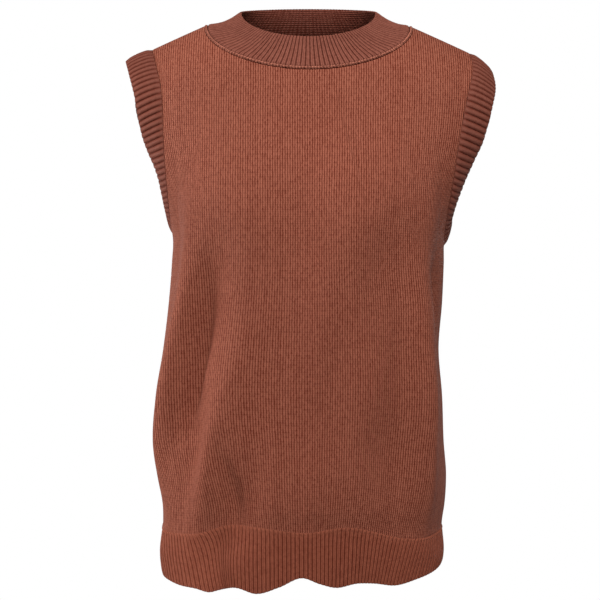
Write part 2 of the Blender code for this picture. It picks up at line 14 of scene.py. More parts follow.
import bpy
import numpy as np
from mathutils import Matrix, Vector


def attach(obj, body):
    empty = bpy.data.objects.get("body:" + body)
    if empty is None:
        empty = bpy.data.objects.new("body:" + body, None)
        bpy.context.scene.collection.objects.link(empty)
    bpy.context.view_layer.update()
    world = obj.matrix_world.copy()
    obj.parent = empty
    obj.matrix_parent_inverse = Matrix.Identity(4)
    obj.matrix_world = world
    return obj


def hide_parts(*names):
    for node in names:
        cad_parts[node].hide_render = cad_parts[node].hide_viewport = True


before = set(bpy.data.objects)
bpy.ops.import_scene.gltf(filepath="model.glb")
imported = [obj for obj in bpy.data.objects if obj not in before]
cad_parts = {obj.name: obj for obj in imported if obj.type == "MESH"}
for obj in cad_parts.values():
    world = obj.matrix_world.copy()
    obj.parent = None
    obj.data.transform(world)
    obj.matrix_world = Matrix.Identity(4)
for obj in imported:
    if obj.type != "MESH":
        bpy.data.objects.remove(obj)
log = logging.getLogger("sweater_vest")

MM = 0.001
SEAM_GAP = 0.00005            # space between two pieces at a seam
WALE = 0.00246                # width of one jersey stitch
COURSE = 0.0023               # height of one stitch
KNIT_ATTRIBUTE = "knit"       # stitch coordinates: wales across, courses along, 1 on the wrong side
QUARTER = 0.5 * np.pi
LEAST_LENGTH = 1e-12          # keeps a division from zero
CELL_MARGIN = 0.001           # keeps a reading inside a table's last cell
NO_TRIANGLES = np.zeros((0, 3), int)

Array = np.ndarray
Socket = bpy.types.NodeSocket
Colour = tuple[float, float, float]
Place = tuple[float, float, float]


class Side(enum.Enum):
    """Front or back of the vest; the value is the sign of y."""

    FRONT = -1
    BACK = 1


class Hand(enum.Enum):
    """Left or right armhole; the value is the sign of x."""

    LEFT = -1
    RIGHT = 1


class Section(NamedTuple):
    """Half-widths and depths of the body at one height."""

    name: str
    height: float
    left: float
    right: float
    front: float
    back: float


class ArmholePoint(NamedTuple):
    """Armhole seam at a share of its height, at angles from each side's centre.

    The lean is the band's turn in towards the arm, and the drift is how far along the seam, towards the
    underarm, a rib's outer end lies below its root.
    """

    name: str
    share: float
    front_left: float
    front_right: float
    back_left: float
    back_right: float
    left_lean: float
    right_lean: float
    drift: float


class Fold(NamedTuple):
    """A large fold between two heights, at an angle from its side's centre at each."""

    name: str
    top_angle: float
    top: float
    bottom_angle: float
    bottom: float
    half_width: float
    rise: float


class Crease(NamedTuple):
    """A smaller crease between two points, each a distance from the centre plane and a height.

    Its half-width changes from start to end, and its middle bows sideways.
    """

    name: str
    start_reach: float
    start: float
    end_reach: float
    end: float
    start_width: float
    end_width: float
    rise: float
    bow: float = 0.0


class EdgePoint(NamedTuple):
    """The hem's edge, or its joint's rise over the mean, at an angle; ribs drift sideways to the edge."""

    name: str
    angle: float
    height: float
    drift: float = 0.0


def rows_of(kind: type, *rows: tuple) -> tuple:
    """Name the numbers of a table's rows."""
    return tuple(kind(*row) for row in rows)


SECTIONS = rows_of(
    Section,
    ("neck side", 0, 192, 222, 58, 64),
    ("shoulder", -45, 190, 215, 67, 78),
    ("upper chest", -90, 184, 208, 82, 92),
    ("armhole middle", -130, 175, 193, 94, 100),
    ("chest", -165, 162.5, 175, 103, 104),
    ("armhole low", -200, 149, 156, 110, 105),
    ("underarm", -235, 139, 142.5, 115, 103.5),
    ("bust", -262, 140, 141.5, 116, 101),
    ("rib cage", -300, 143, 140, 115, 99),
    ("waist", -350, 149, 136.5, 111.5, 97),
    ("high hip", -400, 157, 140, 108.5, 97),
    ("blouse", -445, 159, 141.5, 107.5, 98.5),
    ("low blouse", -480, 153.5, 144, 108, 100),
    ("tuck", -508, 148.5, 142.5, 105.5, 99),
    ("hem seam", -530, 148.5, 139.5, 100, 95.5),
    ("hem middle", -558, 151, 141, 99, 95.5),
    ("hem edge", -590, 148, 135, 98.5, 94.5),
)

ARMHOLE_SEAM = rows_of(
    ArmholePoint,
    ("underarm", 0, 93, 87, 87, 93, 0.985, 0.96, 0),
    ("turn", 0.02, 85, 81.5, 81.5, 85, 0.98, 0.96, 12),
    ("low", 0.07, 78.5, 76.5, 76.5, 78.5, 0.97, 0.94, 22),
    ("lower", 0.15, 73, 71.5, 72, 73, 0.95, 0.9, 27),
    ("front of the arm", 0.25, 69.6, 68.4, 69.5, 70, 0.91, 0.84, 22),
    ("middle", 0.4, 67.4, 66.5, 67.6, 67.8, 0.78, 0.72, 14),
    ("upper", 0.55, 67.2, 67, 67.5, 67.5, 0.62, 0.53, 7),
    ("high", 0.75, 69.2, 69.9, 69.5, 70, 0.42, 0.48, 2),
    ("near the tip", 0.91, 73.2, 73.4, 71, 70.6, 0.38, 0.6, 0),
    ("tip", 1, 75.6, 74.2, 74, 73, 0.4, 0.64, 0),
)

FOLDS = {
    Side.FRONT: rows_of(
        Fold,
        ("left diagonal valley", -38, -237, -76, -535, 14.5, -13.5),
        ("left diagonal ridge", -30, -315, -57, -555, 19, 12),
        ("left pinch", -28, -450, -50, -572, 24, -10.5),
        ("left side roll", -48, -175, -77, -575, 19, 17),
        ("left blouse hollow", -50, -378, -59, -517, 19, -11),
        ("middle swell", 22, -145, 8, -420, 30, 12.5),
        ("right belly ridge", 32, -270, 23, -505, 25, 11),
        ("right side ridge", 55, -145, 52, -530, 30, 14),
        ("right side valley", 58, -235, 72, -355, 18, -11),
        ("right low roll", 48, -270, 60, -555, 16, 13),
        ("right hip hollow", 32, -400, 48, -532, 26, -5),
    ),
    Side.BACK: rows_of(
        Fold,
        ("back left valley", -44, -240, -66, -480, 14, -6),
        ("back left ridge", -30, -260, -48, -510, 17, 5),
        ("back right valley", 48, -260, 64, -490, 14, -6),
        ("back right ridge", 34, -250, 50, -515, 16, 5),
        ("back middle swell", -4, -300, 3, -470, 24, 3),
    ),
}

CREASES = {
    Side.FRONT: rows_of(
        Crease,
        ("left chest", -130, -205, -18, -207, 52, 52, 12),
        ("right chest", -5, -203, 130, -205, 60, 60, 12),
        ("middle chest", -60, -183, 100, -183, 55, 55, 6.5),
        ("crease below the neck", 26, -72, 50, -215, 2.5, 3, -3, 3),
        ("side trough left", -93, -245, -131, -450, 11, 11, -10),
        ("pinch trough left", -88, -425, -78, -529, 12, 13, -9),
        ("neck pucker 1", -22, -73, -20, -90, 1.6, 2, -0.5),
        ("neck pucker 2", -9, -73, -9, -97, 1.6, 2.2, -0.7),
        ("neck pucker 3", 0, -73, 1, -93, 1.5, 1.8, -0.5),
        ("neck pucker 4", 11, -73, 13, -99, 1.7, 2.4, -0.7),
        ("neck pucker 5", 24, -72, 28, -90, 1.6, 2, -0.4),
        ("arc under the chest", -10, -250, 42, -250, 3, 3, -0.5, 4),
        ("belly ridge left", -35, -400, -35, -528, 7, 6, 1),
        ("belly trough left", -17, -400, -16, -528, 6, 5, -1),
        ("belly ridge middle", 3, -430, 8, -528, 6, 6, 0.8),
        ("belly trough right", 26, -270, 24, -400, 12, 10, -1.2, 2),
        ("belly ridge right", 72, -270, 72, -440, 14, 12, 1.2),
        ("hip trough right", 90, -420, 84, -528, 12, 8, -1.4),
        ("hip ridge right", 128, -465, 128, -510, 3.5, 3.5, 1.2),
        ("joint ripple 1", -62, -488, -61, -529, 4, 3.5, 0.6),
        ("joint ripple 2", -50, -496, -50, -529, 3.5, 3, -0.5),
        ("joint ripple 3", 22, -494, 23, -528, 3.5, 3, 0.5),
        ("joint ripple 4", 40, -490, 43, -527, 4, 3.5, -0.6),
        ("joint ripple 5", 60, -495, 64, -527, 4, 3, 0.6),
        ("side crease right", 138.5, -275, 137, -440, 11, 9, -1.6),
    ),
    Side.BACK: rows_of(
        Crease,
        ("back shoulder left", -75, -70, -108, -205, 10, 16, -1.4, 3),
        ("back shoulder right", 82, -75, 112, -215, 12, 15, -1.2, -3),
        ("back side left", -130, -285, -116, -490, 11, 9, -2.4, 4),
        ("back side right", 124, -275, 110, -505, 11, 8, -2, -4),
        ("back ridge left", -66, -330, -54, -528, 10, 7, 1.3),
        ("back trough left", -40, -290, -38, -528, 10, 6, -1.3, 2),
        ("back trough middle", 12, -400, 8, -528, 7, 5, -0.9),
        ("back ridge right", 34, -350, 38, -528, 10, 7, 1.1),
        ("back trough right", 62, -280, 66, -528, 11, 7, -1.4, -3),
        ("back ripple 1", -90, -478, -92, -529, 4.5, 3.5, -0.7),
        ("back ripple 2", -16, -488, -15, -529, 4, 3.5, 0.6),
        ("back ripple 3", 86, -482, 87, -528, 4.5, 3.5, 0.7),
        ("back neck pucker 1", -19, -42, -18, -62, 1.8, 2.2, -0.5),
        ("back neck pucker 2", 13, -42, 14, -68, 1.8, 2.4, -0.6),
    ),
}

HEM_EDGE = {
    Side.FRONT: rows_of(
        EdgePoint,
        ("left side", -93, -579),
        ("left corner", -75, -583.7, 2),
        ("left swell", -65, -587.3, 8),
        ("before the pinch", -57, -588.4, 14),
        ("left pinch", -50, -590.7, 14),
        ("after the pinch", -46, -588, 9),
        ("left lift", -39, -584.8, 4),
        ("left middle dip", -28, -590.2, 1),
        ("left rise", -16, -583.5),
        ("centre lift", -3, -574.2),
        ("right rise", 7, -580),
        ("right middle dip", 16, -583.8, -1),
        ("right middle lift", 28, -580, -3),
        ("right lift", 36, -580.6, -6),
        ("right front dip", 47, -583.8, -10),
        ("right corner", 59, -579.4, -10),
        ("right turn", 70, -575, -6),
        ("right side", 87, -567),
    ),
    Side.BACK: rows_of(
        EdgePoint,
        ("left side", -87, -579),
        ("left dip", -52, -588, 6),
        ("left lift", -33, -582, 2),
        ("middle dip", -8, -588),
        ("middle lift", 14, -580),
        ("right dip", 40, -586, -4),
        ("right lift", 62, -577, -5),
        ("right side", 93, -567),
    ),
}

HEM_JOINT = {
    Side.FRONT: rows_of(
        EdgePoint,
        ("left side", -93, 0),
        ("left hip", -62, -6),
        ("under the pinch", -54, -4),
        ("left gather", -45, 4),
        ("left middle", -30, 4),
        ("centre", 0, -1),
        ("right middle", 24, 4),
        ("right gather", 36, -1),
        ("right hip", 48, -8),
        ("right side", 87, -4),
    ),
    Side.BACK: rows_of(
        EdgePoint,
        ("left side", -87, 0),
        ("left gather", -40, 3),
        ("centre", 5, -2),
        ("right gather", 42, 3),
        ("right side", 93, -4),
    ),
}


def column(rows: tuple, key: str) -> Array:
    """One column of a table."""
    return np.array([getattr(row, key) for row in rows], float)


def smooth_curve(knots: Array, values: Array, at: Array) -> Array:
    """Cubic through the knots: each cell blends its two ends' values and slopes with Hermite weights.

    Args:
        knots: Rising places of the known values.
        values: The values there.
        at: Places to read, clipped to the knots' range.

    Returns:
        The curve's values at those places.
    """
    at = np.clip(at, knots[0], knots[-1])
    slopes = np.gradient(values, knots)
    cell = np.clip(np.searchsorted(knots, at, side="right") - 1, 0, len(knots) - 2)
    span = knots[cell + 1] - knots[cell]
    t = (at - knots[cell]) / span
    start = values[cell] * (1 + 2 * t) * (1 - t) ** 2 + slopes[cell] * span * t * (1 - t) ** 2
    end = values[cell + 1] * t * t * (3 - 2 * t) + slopes[cell + 1] * span * t * t * (t - 1)
    return start + end


def read_rows(rows: tuple, place: str, key: str, at: Array) -> Array:
    """One column of a table, read smoothly at places of another."""
    return smooth_curve(column(rows, place), column(rows, key), at)


def unit(vectors: Array) -> Array:
    """The same vectors, one long."""
    return vectors / np.maximum(np.linalg.norm(vectors, axis=-1, keepdims=True), LEAST_LENGTH)


def lengths_along(points: Array, axis: int) -> Array:
    """Length of a polyline, or of each grid line along an axis, from its start to each point."""
    steps = np.linalg.norm(np.diff(points, axis=axis), axis=-1)
    return np.insert(np.cumsum(steps, axis=axis), 0, 0, axis=axis)


def resample(points: Array, count: int, closed: bool) -> Array:
    """Even steps along a polyline: each value is read linearly at equal shares of the line's length.

    Args:
        points: Rows of x, y, z and further values that go along.
        count: Number of steps.
        closed: Whether the last point joins the first.

    Returns:
        count rows if closed, else count + 1.
    """
    line = np.vstack([points, points[:1]]) if closed else points
    length = lengths_along(line[:, :3], 0)
    at = np.linspace(0, length[-1], count + 1)[:count if closed else count + 1]
    return np.stack([np.interp(at, length, values) for values in line.T], axis=1)


def around(ring: Array, axis: int) -> Array:
    """Steps from each point's neighbour before it to the one after it, round a closed line or grid."""
    return np.roll(ring, -1, axis=axis) - np.roll(ring, 1, axis=axis)


def ring_normals(grid: Array, facing: Array) -> Array:
    """Unit cross products of a ring grid's steps round and across it, on its seam's facing side."""
    normals = unit(np.cross(around(grid, 1), np.gradient(grid, axis=0)))
    return normals * np.sign(np.sum(normals[1] * facing))


def off_the_seam(seam: Array, facing: Array, run: Array) -> Array:
    """Unit direction in the cloth square to a closed seam: line crossed with facing, on the run's side."""
    square = unit(np.cross(around(seam, 0), facing))
    return square * np.sign(np.sum(square * run, axis=1, keepdims=True))


def grid_quads(corners: Array, closed_rows: bool = False, closed_columns: bool = False) -> Array:
    """Quads between neighbouring rows and columns of a grid of corner numbers.

    Args:
        corners: Corner numbers, rows by columns.
        closed_rows: Whether the last row joins the first.
        closed_columns: Whether the last column joins the first.

    Returns:
        One row of four corner numbers a quad.
    """
    if closed_rows:
        corners = np.vstack([corners, corners[:1]])
    if closed_columns:
        corners = np.hstack([corners, corners[:, :1]])
    quads = [corners[:-1, :-1], corners[:-1, 1:], corners[1:, 1:], corners[1:, :-1]]
    return np.stack(quads, axis=-1).reshape(-1, 4)


def knit_grid(wale: Array, course: Array, wrong: Array) -> Array:
    """Stitch coordinates of a grid: wales across, courses along, 1 on the wrong side."""
    return np.stack(np.broadcast_arrays(wale, course, wrong), axis=-1)


def rim_triangles(fine: Array, coarse: Array) -> Array:
    """Triangles between two lines: each fine step fans to the nearer coarse corner, one fills the middle.

    Args:
        fine: Corner numbers of a line.
        coarse: Corner numbers of a line beside it with half as many steps.

    Returns:
        One row of three corner numbers a triangle.
    """
    start, middle, end = fine[0:-1:2], fine[1::2], fine[2::2]
    near, far = coarse[:-1], coarse[1:]
    fans = ((start, near, middle), (middle, far, end), (middle, near, far))
    return np.concatenate([np.stack(fan, axis=1) for fan in fans])


@dataclass(frozen=True)
class Surface:
    """A closed mesh in numpy: corner places, their stitch coordinates, quads and triangles."""

    points: Array
    knit: Array
    quads: Array
    triangles: Array = field(default_factory=lambda: NO_TRIANGLES)

    def outward(self) -> "Surface":
        """Turn the faces outwards where the tetrahedra from the origin to them sum below zero.

        Returns:
            This surface, or the same with every face turned.
        """
        split = np.concatenate([self.quads[:, :3], self.quads[:, [0, 2, 3]], self.triangles])
        a, b, c = (self.points[split[:, k]] for k in range(3))
        if np.sum(a * np.cross(b, c)) > 0:
            return self
        return Surface(self.points, self.knit, self.quads[:, ::-1], self.triangles[:, ::-1])


def place_object(name: str, data: bpy.types.ID) -> bpy.types.Object:
    """Put something into the scene as a new object at the origin.

    Args:
        name: The object's name.
        data: Its mesh, light or camera.

    Returns:
        The new object.
    """
    made = bpy.data.objects.new(name, data)
    bpy.context.scene.collection.objects.link(made)
    return made


@dataclass
class Piece:
    """One finished piece of the vest: a mesh that rides on the frame and stands for a CAD node."""

    name: str
    node: str
    slot: str
    material: bpy.types.Material

    def build(self, surface: Surface) -> bpy.types.Object:
        """Put a surface into the scene.

        Args:
            surface: The closed mesh in numpy.

        Returns:
            The new object, at the origin, unturned and unscaled.
        """
        surface = surface.outward()
        mesh = bpy.data.meshes.new(self.name)
        mesh.from_pydata(surface.points.tolist(), [], surface.quads.tolist() + surface.triangles.tolist())
        attribute = mesh.attributes.new(KNIT_ATTRIBUTE, "FLOAT_VECTOR", "POINT")
        attribute.data.foreach_set("vector", surface.knit.astype(np.float32).ravel())
        mesh.materials.append(self.material)
        mesh.shade_smooth()
        piece = place_object(self.name, mesh)
        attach(piece, "root")
        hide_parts(self.node)
        log.info("%s: %d triangles", self.name, 2 * len(surface.quads) + len(surface.triangles))
        return piece


class NodeGraph:
    """A node tree, with a short way to write its arithmetic."""

    def __init__(self, tree: bpy.types.NodeTree) -> None:
        """Take the tree of a material or a world."""
        self.tree = tree

    def feed(self, node: bpy.types.Node, values: dict[Any, Any]) -> None:
        """Set a node's inputs to numbers and colours, or link sockets to them.

        Args:
            node: The node.
            values: What each input gets, by its number or name.
        """
        for key, value in values.items():
            if isinstance(value, Socket):
                self.tree.links.new(value, node.inputs[key])
            else:
                node.inputs[key].default_value = value

    def node(self, kind: str, values: dict[Any, Any], **settings: str) -> bpy.types.Node:
        """Make a node.

        Args:
            kind: Its type's name after ShaderNode.
            values: What its inputs get, by number or name.
            **settings: Its other settings.

        Returns:
            The new node.
        """
        node = self.tree.nodes.new("ShaderNode" + kind)
        for name, setting in settings.items():
            setattr(node, name, setting)
        self.feed(node, values)
        return node

    def math(self, operation: str, *values: float | Socket) -> Socket:
        """Result of a Math node on numbers or sockets."""
        return self.node("Math", dict(enumerate(values)), operation=operation).outputs[0]

    def wave(self, turns: Socket, half: float, middle: float) -> Socket:
        """Middle plus half times the cosine of so many turns."""
        cosine = self.math("COSINE", self.math("MULTIPLY", turns, 2 * math.pi))
        return self.math("MULTIPLY_ADD", cosine, half, middle)

    def attribute_xyz(self, name: str) -> tuple[Socket, ...]:
        """The three numbers of a vector attribute."""
        read = self.node("Attribute", {}, attribute_name=name)
        return tuple(self.node("SeparateXYZ", {0: read.outputs["Vector"]}).outputs)

    def noise_cell(self, first: Socket, second: float | Socket) -> Socket:
        """A number from 0 to 1, the same wherever both inputs are the same."""
        cell = self.node("CombineXYZ", {0: first, 1: second}).outputs[0]
        return self.node("TexWhiteNoise", {"Vector": cell}, noise_dimensions="2D").outputs["Value"]

    def cloud(self, scale: float) -> Socket:
        """Slow noise in object coordinates, from 0 to 1."""
        place = self.node("TexCoord", {}).outputs["Object"]
        return self.node("TexNoise", {"Scale": scale, "Detail": 2.0, "Vector": place}).outputs[0]

    def mix_value(self, share: Socket, first: Socket, second: Socket) -> Socket:
        """The first value where the share is 0, the second where it is 1."""
        return self.node("Mix", {0: share, 2: first, 3: second}, data_type="FLOAT").outputs[0]

    def mix_colour(self, share: Socket, first: Colour, second: Colour) -> Socket:
        """A colour between two, clamped at both ends."""
        values = {0: share, 6: (*first, 1.0), 7: (*second, 1.0)}
        return self.node("Mix", values, data_type="RGBA").outputs[2]

    def bump(self, height: Socket, distance: float) -> Socket:
        """Normal of a surface raised by a height of 0 to 1 over a distance."""
        return self.node("Bump", {"Strength": 1.0, "Distance": distance, "Height": height}).outputs[0]


def new_material(name: str) -> tuple[bpy.types.Material, NodeGraph]:
    """Start a material with a Principled shader.

    Args:
        name: Its name.

    Returns:
        The material and its node graph.
    """
    material = bpy.data.materials.new(name)
    material.use_nodes = True
    return material, NodeGraph(material.node_tree)


@dataclass(frozen=True)
class KnitFinish:
    """A knitted finish: the yarn's colour on its crests, a dark colour painted as shade in its grooves, the
    depth of its stitches and how much they vary.
    """

    name: str
    # light: the yarn's crest colour, on the jersey paled in part as a painted highlight; dark: painted
    # shade in the grooves
    light: Colour
    dark: Colour
    leg_rise: float = 0.50        # how many courses a stitch's leg climbs across half a wale
    crown: float = 0.38           # phase of a leg's round back at the wale's middle, in half turns
    strand: float = 0.30          # share of the height that changes from course to course
    purl_change: float = 0.3      # how far a loop on the wrong side rises and falls across a wale
    relief: float = 0.0007        # height of the yarn over the groove
    painted_groove_shade: float = 0.03    # painted shade in the grooves: share of the light yarn's colour left there
    painted_relief_shade: float = 0.92      # how much the yarn's height lightens the colour above the painted groove shade
    leg_change: float = 0.40      # change of shade from leg to leg
    wale_change: float = 0.08     # change of shade from wale to wale
    wale_seed: float = 7.0
    cloud_change: float = 0.10    # slow change of shade over the cloth
    cloud_scale: float = 18.0
    gather: float = 0.0           # painted highlight: how much lighter the gathered loops of the first course are
    gather_even: float = 0.3      # share of the painted highlight that all loops have
    gather_length: float = 0.8    # courses over which the painted highlight fades
    roughness: float = 0.62
    specular: float = 0.05
    sheen: float = 0.01
    sheen_roughness: float = 0.45
    sheen_tint: Colour = (1.0, 0.60, 0.48)

    def material(self) -> bpy.types.Material:
        """Dress a surface with V-shaped stitches outside and purl loops on the wrong side.

        Returns:
            A material that reads the piece's stitch coordinates.
        """
        material, graph = new_material(self.name)
        height, shade = self.stitches(graph, *graph.attribute_xyz(KNIT_ATTRIBUTE))
        graph.feed(graph.tree.nodes["Principled BSDF"], {
            # painted shade and highlight: the colour runs from dark in the grooves to light on the yarn's
            # crests
            "Base Color": graph.mix_colour(shade, self.dark, self.light),
            "Normal": graph.bump(height, self.relief),
            "Roughness": self.roughness,
            "Specular IOR Level": self.specular,
            "Sheen Weight": self.sheen,
            "Sheen Roughness": self.sheen_roughness,
            "Sheen Tint": (*self.sheen_tint, 1.0),
        })
        return material

    def stitches(self, graph: NodeGraph, wale: Socket, course: Socket,
                 wrong: Socket) -> tuple[Socket, Socket]:
        """Work out the stitches.

        Across a wale, a is 0 at its middle and 1 in the groove beside it. A leg's height is
        sin(pi (c + (1 - c) a)), c being the crown, its strand is 0.5 + 0.5 cos(2 pi (course - rise a)), and
        the yarn stands at leg (1 - s + s strand), s being the strand's share. On the wrong side the loops
        stand at (0.5 + 0.5 cos(2 pi course)) (1 - p + p cos(2 pi wale)), p being the purl change. The shade
        follows the height and is painted darker in the grooves, with noise from leg to leg, from wale to
        wale and over the cloth. Gathered loops add a painted highlight that fades as exp(-course / length)
        and changes from leg to leg.

        Args:
            graph: The material's nodes.
            wale: Stitches across.
            course: Stitches along.
            wrong: 1 on the wrong side, else 0.

        Returns:
            Height and shade.
        """
        calc = graph.math
        across = calc("MULTIPLY", calc("ABSOLUTE", calc("SUBTRACT", calc("FRACT", wale), 0.5)), 2.0)
        leg = calc("SINE", calc("MULTIPLY_ADD", across, (1 - self.crown) * math.pi, self.crown * math.pi))
        climb = calc("SUBTRACT", course, calc("MULTIPLY", across, self.leg_rise))
        strand = calc("MULTIPLY_ADD", graph.wave(climb, 0.5, 0.5), self.strand, 1 - self.strand)
        purl = graph.wave(wale, self.purl_change, 1 - self.purl_change)
        height = graph.mix_value(wrong, calc("MULTIPLY", leg, strand),
                                 calc("MULTIPLY", graph.wave(course, 0.5, 0.5), purl))
        leg_noise = graph.noise_cell(calc("FLOOR", calc("MULTIPLY", wale, 2.0)), calc("FLOOR", climb))
        wale_noise = graph.noise_cell(calc("FLOOR", wale), self.wale_seed)
        # painted shade: the colour darkens where the yarn's height sinks into the grooves
        shade = calc("MULTIPLY_ADD", height, self.painted_relief_shade, self.painted_groove_shade)
        for change, noise in ((self.leg_change, leg_noise), (self.wale_change, wale_noise),
                              (self.cloud_change, graph.cloud(self.cloud_scale))):
            shade = calc("ADD", shade, calc("MULTIPLY_ADD", noise, change, -0.5 * change))
        # painted highlight on the gathered loops at the hem joint, fading up the band
        if self.gather:
            fade = calc("EXPONENT", calc("MULTIPLY", course, -1 / self.gather_length))
            loops = calc("MULTIPLY_ADD", leg_noise, self.gather, self.gather_even * self.gather)
            shade = calc("ADD", shade, calc("MULTIPLY", fade, loops))
        return height, shade


@dataclass
class BodyForm:
    """The worn shape on which the jersey and the hem lie: sections, shoulders, neck, armholes and folds.

    Its methods take places on the cloth as a side, angles in radians from that side's centre, and heights.
    """

    bluntness: float = 2.4
    shoulder_slope: float = 0.475
    shoulder_softness: float = 0.045
    shoulder_start: float = 0.0833
    shoulder_roll: float = 0.065
    neck_centre: float = 0.0015
    neck_reach: float = 0.108
    neck_drop: dict = field(default_factory=lambda: {Side.FRONT: 0.053, Side.BACK: 0.006})
    tip_reach: dict = field(default_factory=lambda: {Hand.LEFT: 0.161, Hand.RIGHT: 0.169})
    underarm: dict = field(default_factory=lambda: {Hand.LEFT: -0.232, Hand.RIGHT: -0.244})
    hem_seam: float = -0.528
    joint_fade: float = 0.12      # height over which the panel's rows follow the uneven hem joint
    wale_height: float = -0.262   # below here the number of wales stays the same
    wale_blend: float = 0.014
    fold_overrun: float = 0.1     # share of its fading length by which a fold passes its two ends
    shoulder_columns: int = 5
    neck_columns: int = 18
    shift_fade: int = 3           # how fast an armhole's pull on the columns dies away
    normal_step: float = 0.0005
    roll_marks: int = 8           # points at which the length over the shoulder roll is summed
    girth_heights: int = 240
    girth_angles: int = 361
    girth_limit: float = math.radians(110)

    def size(self, key: str, height: Array) -> Array:
        """One column of the section table, read smoothly at heights."""
        return read_rows(SECTIONS[::-1], "height", key, height / MM) * MM

    def shoulder_height(self, reach: Array) -> Array:
        """Height of the shoulder seam: start less slope times the softened reach hypot(reach, softness)."""
        return -self.shoulder_slope * (np.hypot(reach, self.shoulder_softness) - self.shoulder_start)

    def section_radius(self, side: Side, angle: Array, height: Array) -> Array:
        """Distance from the axis: ((|sin| / width)^n + (|cos| / depth)^n)^(-1/n), n the bluntness.

        Args:
            side: Front or back.
            angle: Angles.
            height: Heights.

        Returns:
            Radii without folds.
        """
        sine, cosine = np.sin(angle), np.cos(angle)
        width = np.where(sine < 0, self.size("left", height), self.size("right", height))
        near, far = ("front", "back") if side is Side.FRONT else ("back", "front")
        depth = np.where(cosine >= 0, self.size(near, height), self.size(far, height))
        n = self.bluntness
        return ((np.abs(sine) / width) ** n + (np.abs(cosine) / depth) ** n) ** (-1 / n)

    def turn_for(self, side: Side, owner: Side, angle: Array) -> Array:
        """Angle from the centre of a fold's own side, whichever side's angles are given."""
        return angle if side is owner else np.where(angle < 0, -math.pi, math.pi) - angle

    def fold_rise(self, side: Side, angle: Array, radius: Array, height: Array) -> Array:
        """Sum of the large folds: rise sin^2(pi share) exp(-(distance / half-width)^2) about each line.

        Args:
            side: Front or back.
            angle: Angles.
            radius: The section's radii there.
            height: Heights.

        Returns:
            How far the folds raise the cloth.
        """
        rise = np.zeros(np.broadcast(angle, height).shape)
        for owner, folds in FOLDS.items():
            turn = self.turn_for(side, owner, angle)
            for fold in folds:
                along = (fold.top - height / MM) / (fold.top - fold.bottom)
                degrees = fold.top_angle + (fold.bottom_angle - fold.top_angle) * np.clip(along, 0, 1)
                across = (turn - np.radians(degrees)) * radius / (fold.half_width * MM)
                share = np.clip(self.fold_overrun + (1 - 2 * self.fold_overrun) * along, 0, 1)
                rise = rise + fold.rise * MM * np.sin(np.pi * share) ** 2 * np.exp(-across ** 2)
        return rise

    def crease_rise(self, side: Side, angle: Array, radius: Array, height: Array) -> Array:
        """Sum of the creases: rise sin(pi share) exp(-(offset / width)^2).

        On the unrolled cloth (angle times radius, height), share runs from 0 to 1 along the straight
        line from start to end, and offset is the distance from it less the bow, bow sin(pi share).

        Args:
            side: Front or back.
            angle: Angles.
            radius: The section's radii there.
            height: Heights.

        Returns:
            How far the creases raise the cloth.
        """
        rise = np.zeros(np.broadcast(angle, height).shape)
        for owner, creases in CREASES.items():
            turn = self.turn_for(side, owner, angle)
            for crease in creases:
                reach = np.array([crease.start_reach, crease.end_reach]) * MM
                level = np.array([crease.start, crease.end]) * MM
                place = self.angle_at(owner, reach, level)
                ends = np.column_stack([self.section_radius(owner, place, level) * place, level])
                length = float(np.hypot(*(ends[1] - ends[0])))
                line = (ends[1] - ends[0]) / length
                over, up = turn * radius - ends[0, 0], height - ends[0, 1]
                share = np.clip((over * line[0] + up * line[1]) / length, 0, 1)
                swing = np.sin(np.pi * share)
                offset = over * -line[1] + up * line[0] - crease.bow * MM * swing
                width = MM * (crease.start_width + (crease.end_width - crease.start_width) * share)
                rise = rise + crease.rise * MM * swing * np.exp(-(offset / width) ** 2)
        return rise

    def cloth_radius(self, side: Side, angle: Array, height: Array) -> Array:
        """The section's radius with the folds and creases.

        Args:
            side: Front or back.
            angle: Angles.
            height: Heights.

        Returns:
            Radii of the cloth's face.
        """
        radius = self.section_radius(side, angle, height)
        folded = radius + self.fold_rise(side, angle, radius, height)
        return folded + self.crease_rise(side, angle, radius, height)

    def point(self, side: Side, angle: Array, height: Array) -> Array:
        """Points of the cloth's face: x = r sin and y = r cos of the angle, r being the cloth's radius.

        Over the last stretch below the shoulder seam y shrinks by sqrt(1 - (1 - lift)^2), a quarter round.

        Args:
            side: Front or back.
            angle: Angles.
            height: Heights.

        Returns:
            Points, one for each pair.
        """
        radius = self.cloth_radius(side, angle, height)
        x = radius * np.sin(angle)
        lift = np.clip((self.shoulder_height(x) - height) / self.shoulder_roll, 0, 1)
        y = side.value * radius * np.cos(angle) * np.sqrt(1 - (1 - lift) ** 2)
        return np.stack([x, y, height + 0 * x], axis=-1)

    def normal(self, side: Side, angle: Array, height: Array) -> Array:
        """Outward directions of the cloth's face: the cross product of short steps over it.

        Args:
            side: Front or back.
            angle: Angles.
            height: Heights.

        Returns:
            Unit directions.
        """
        step = self.normal_step
        turn = step / self.section_radius(side, angle, height)
        across = self.point(side, angle + turn, height) - self.point(side, angle - turn, height)
        upward = self.point(side, angle, height + step) - self.point(side, angle, height - step)
        return unit(np.cross(across, upward) * -side.value)

    def angle_at(self, side: Side, reach: Array, height: Array) -> Array:
        """Angle at which the section reaches a distance from the centre plane.

        Its depth there is depth (1 - (|reach| / width)^n)^(1/n), n being the bluntness.

        Args:
            side: Front or back.
            reach: Distances from the centre plane, below 0 on the left.
            height: Heights.

        Returns:
            Angles.
        """
        width = np.where(reach < 0, self.size("left", height), self.size("right", height))
        depth = self.size(side.name.lower(), height)
        share = np.maximum(0.0, 1 - (np.abs(reach) / width) ** self.bluntness) ** (1 / self.bluntness)
        return np.arctan2(reach, depth * share)

    def joint_rise(self, side: Side, angle: Array) -> Array:
        """How far the hem joint stands above its mean height."""
        return read_rows(HEM_JOINT[side], "angle", "height", np.degrees(angle)) * MM

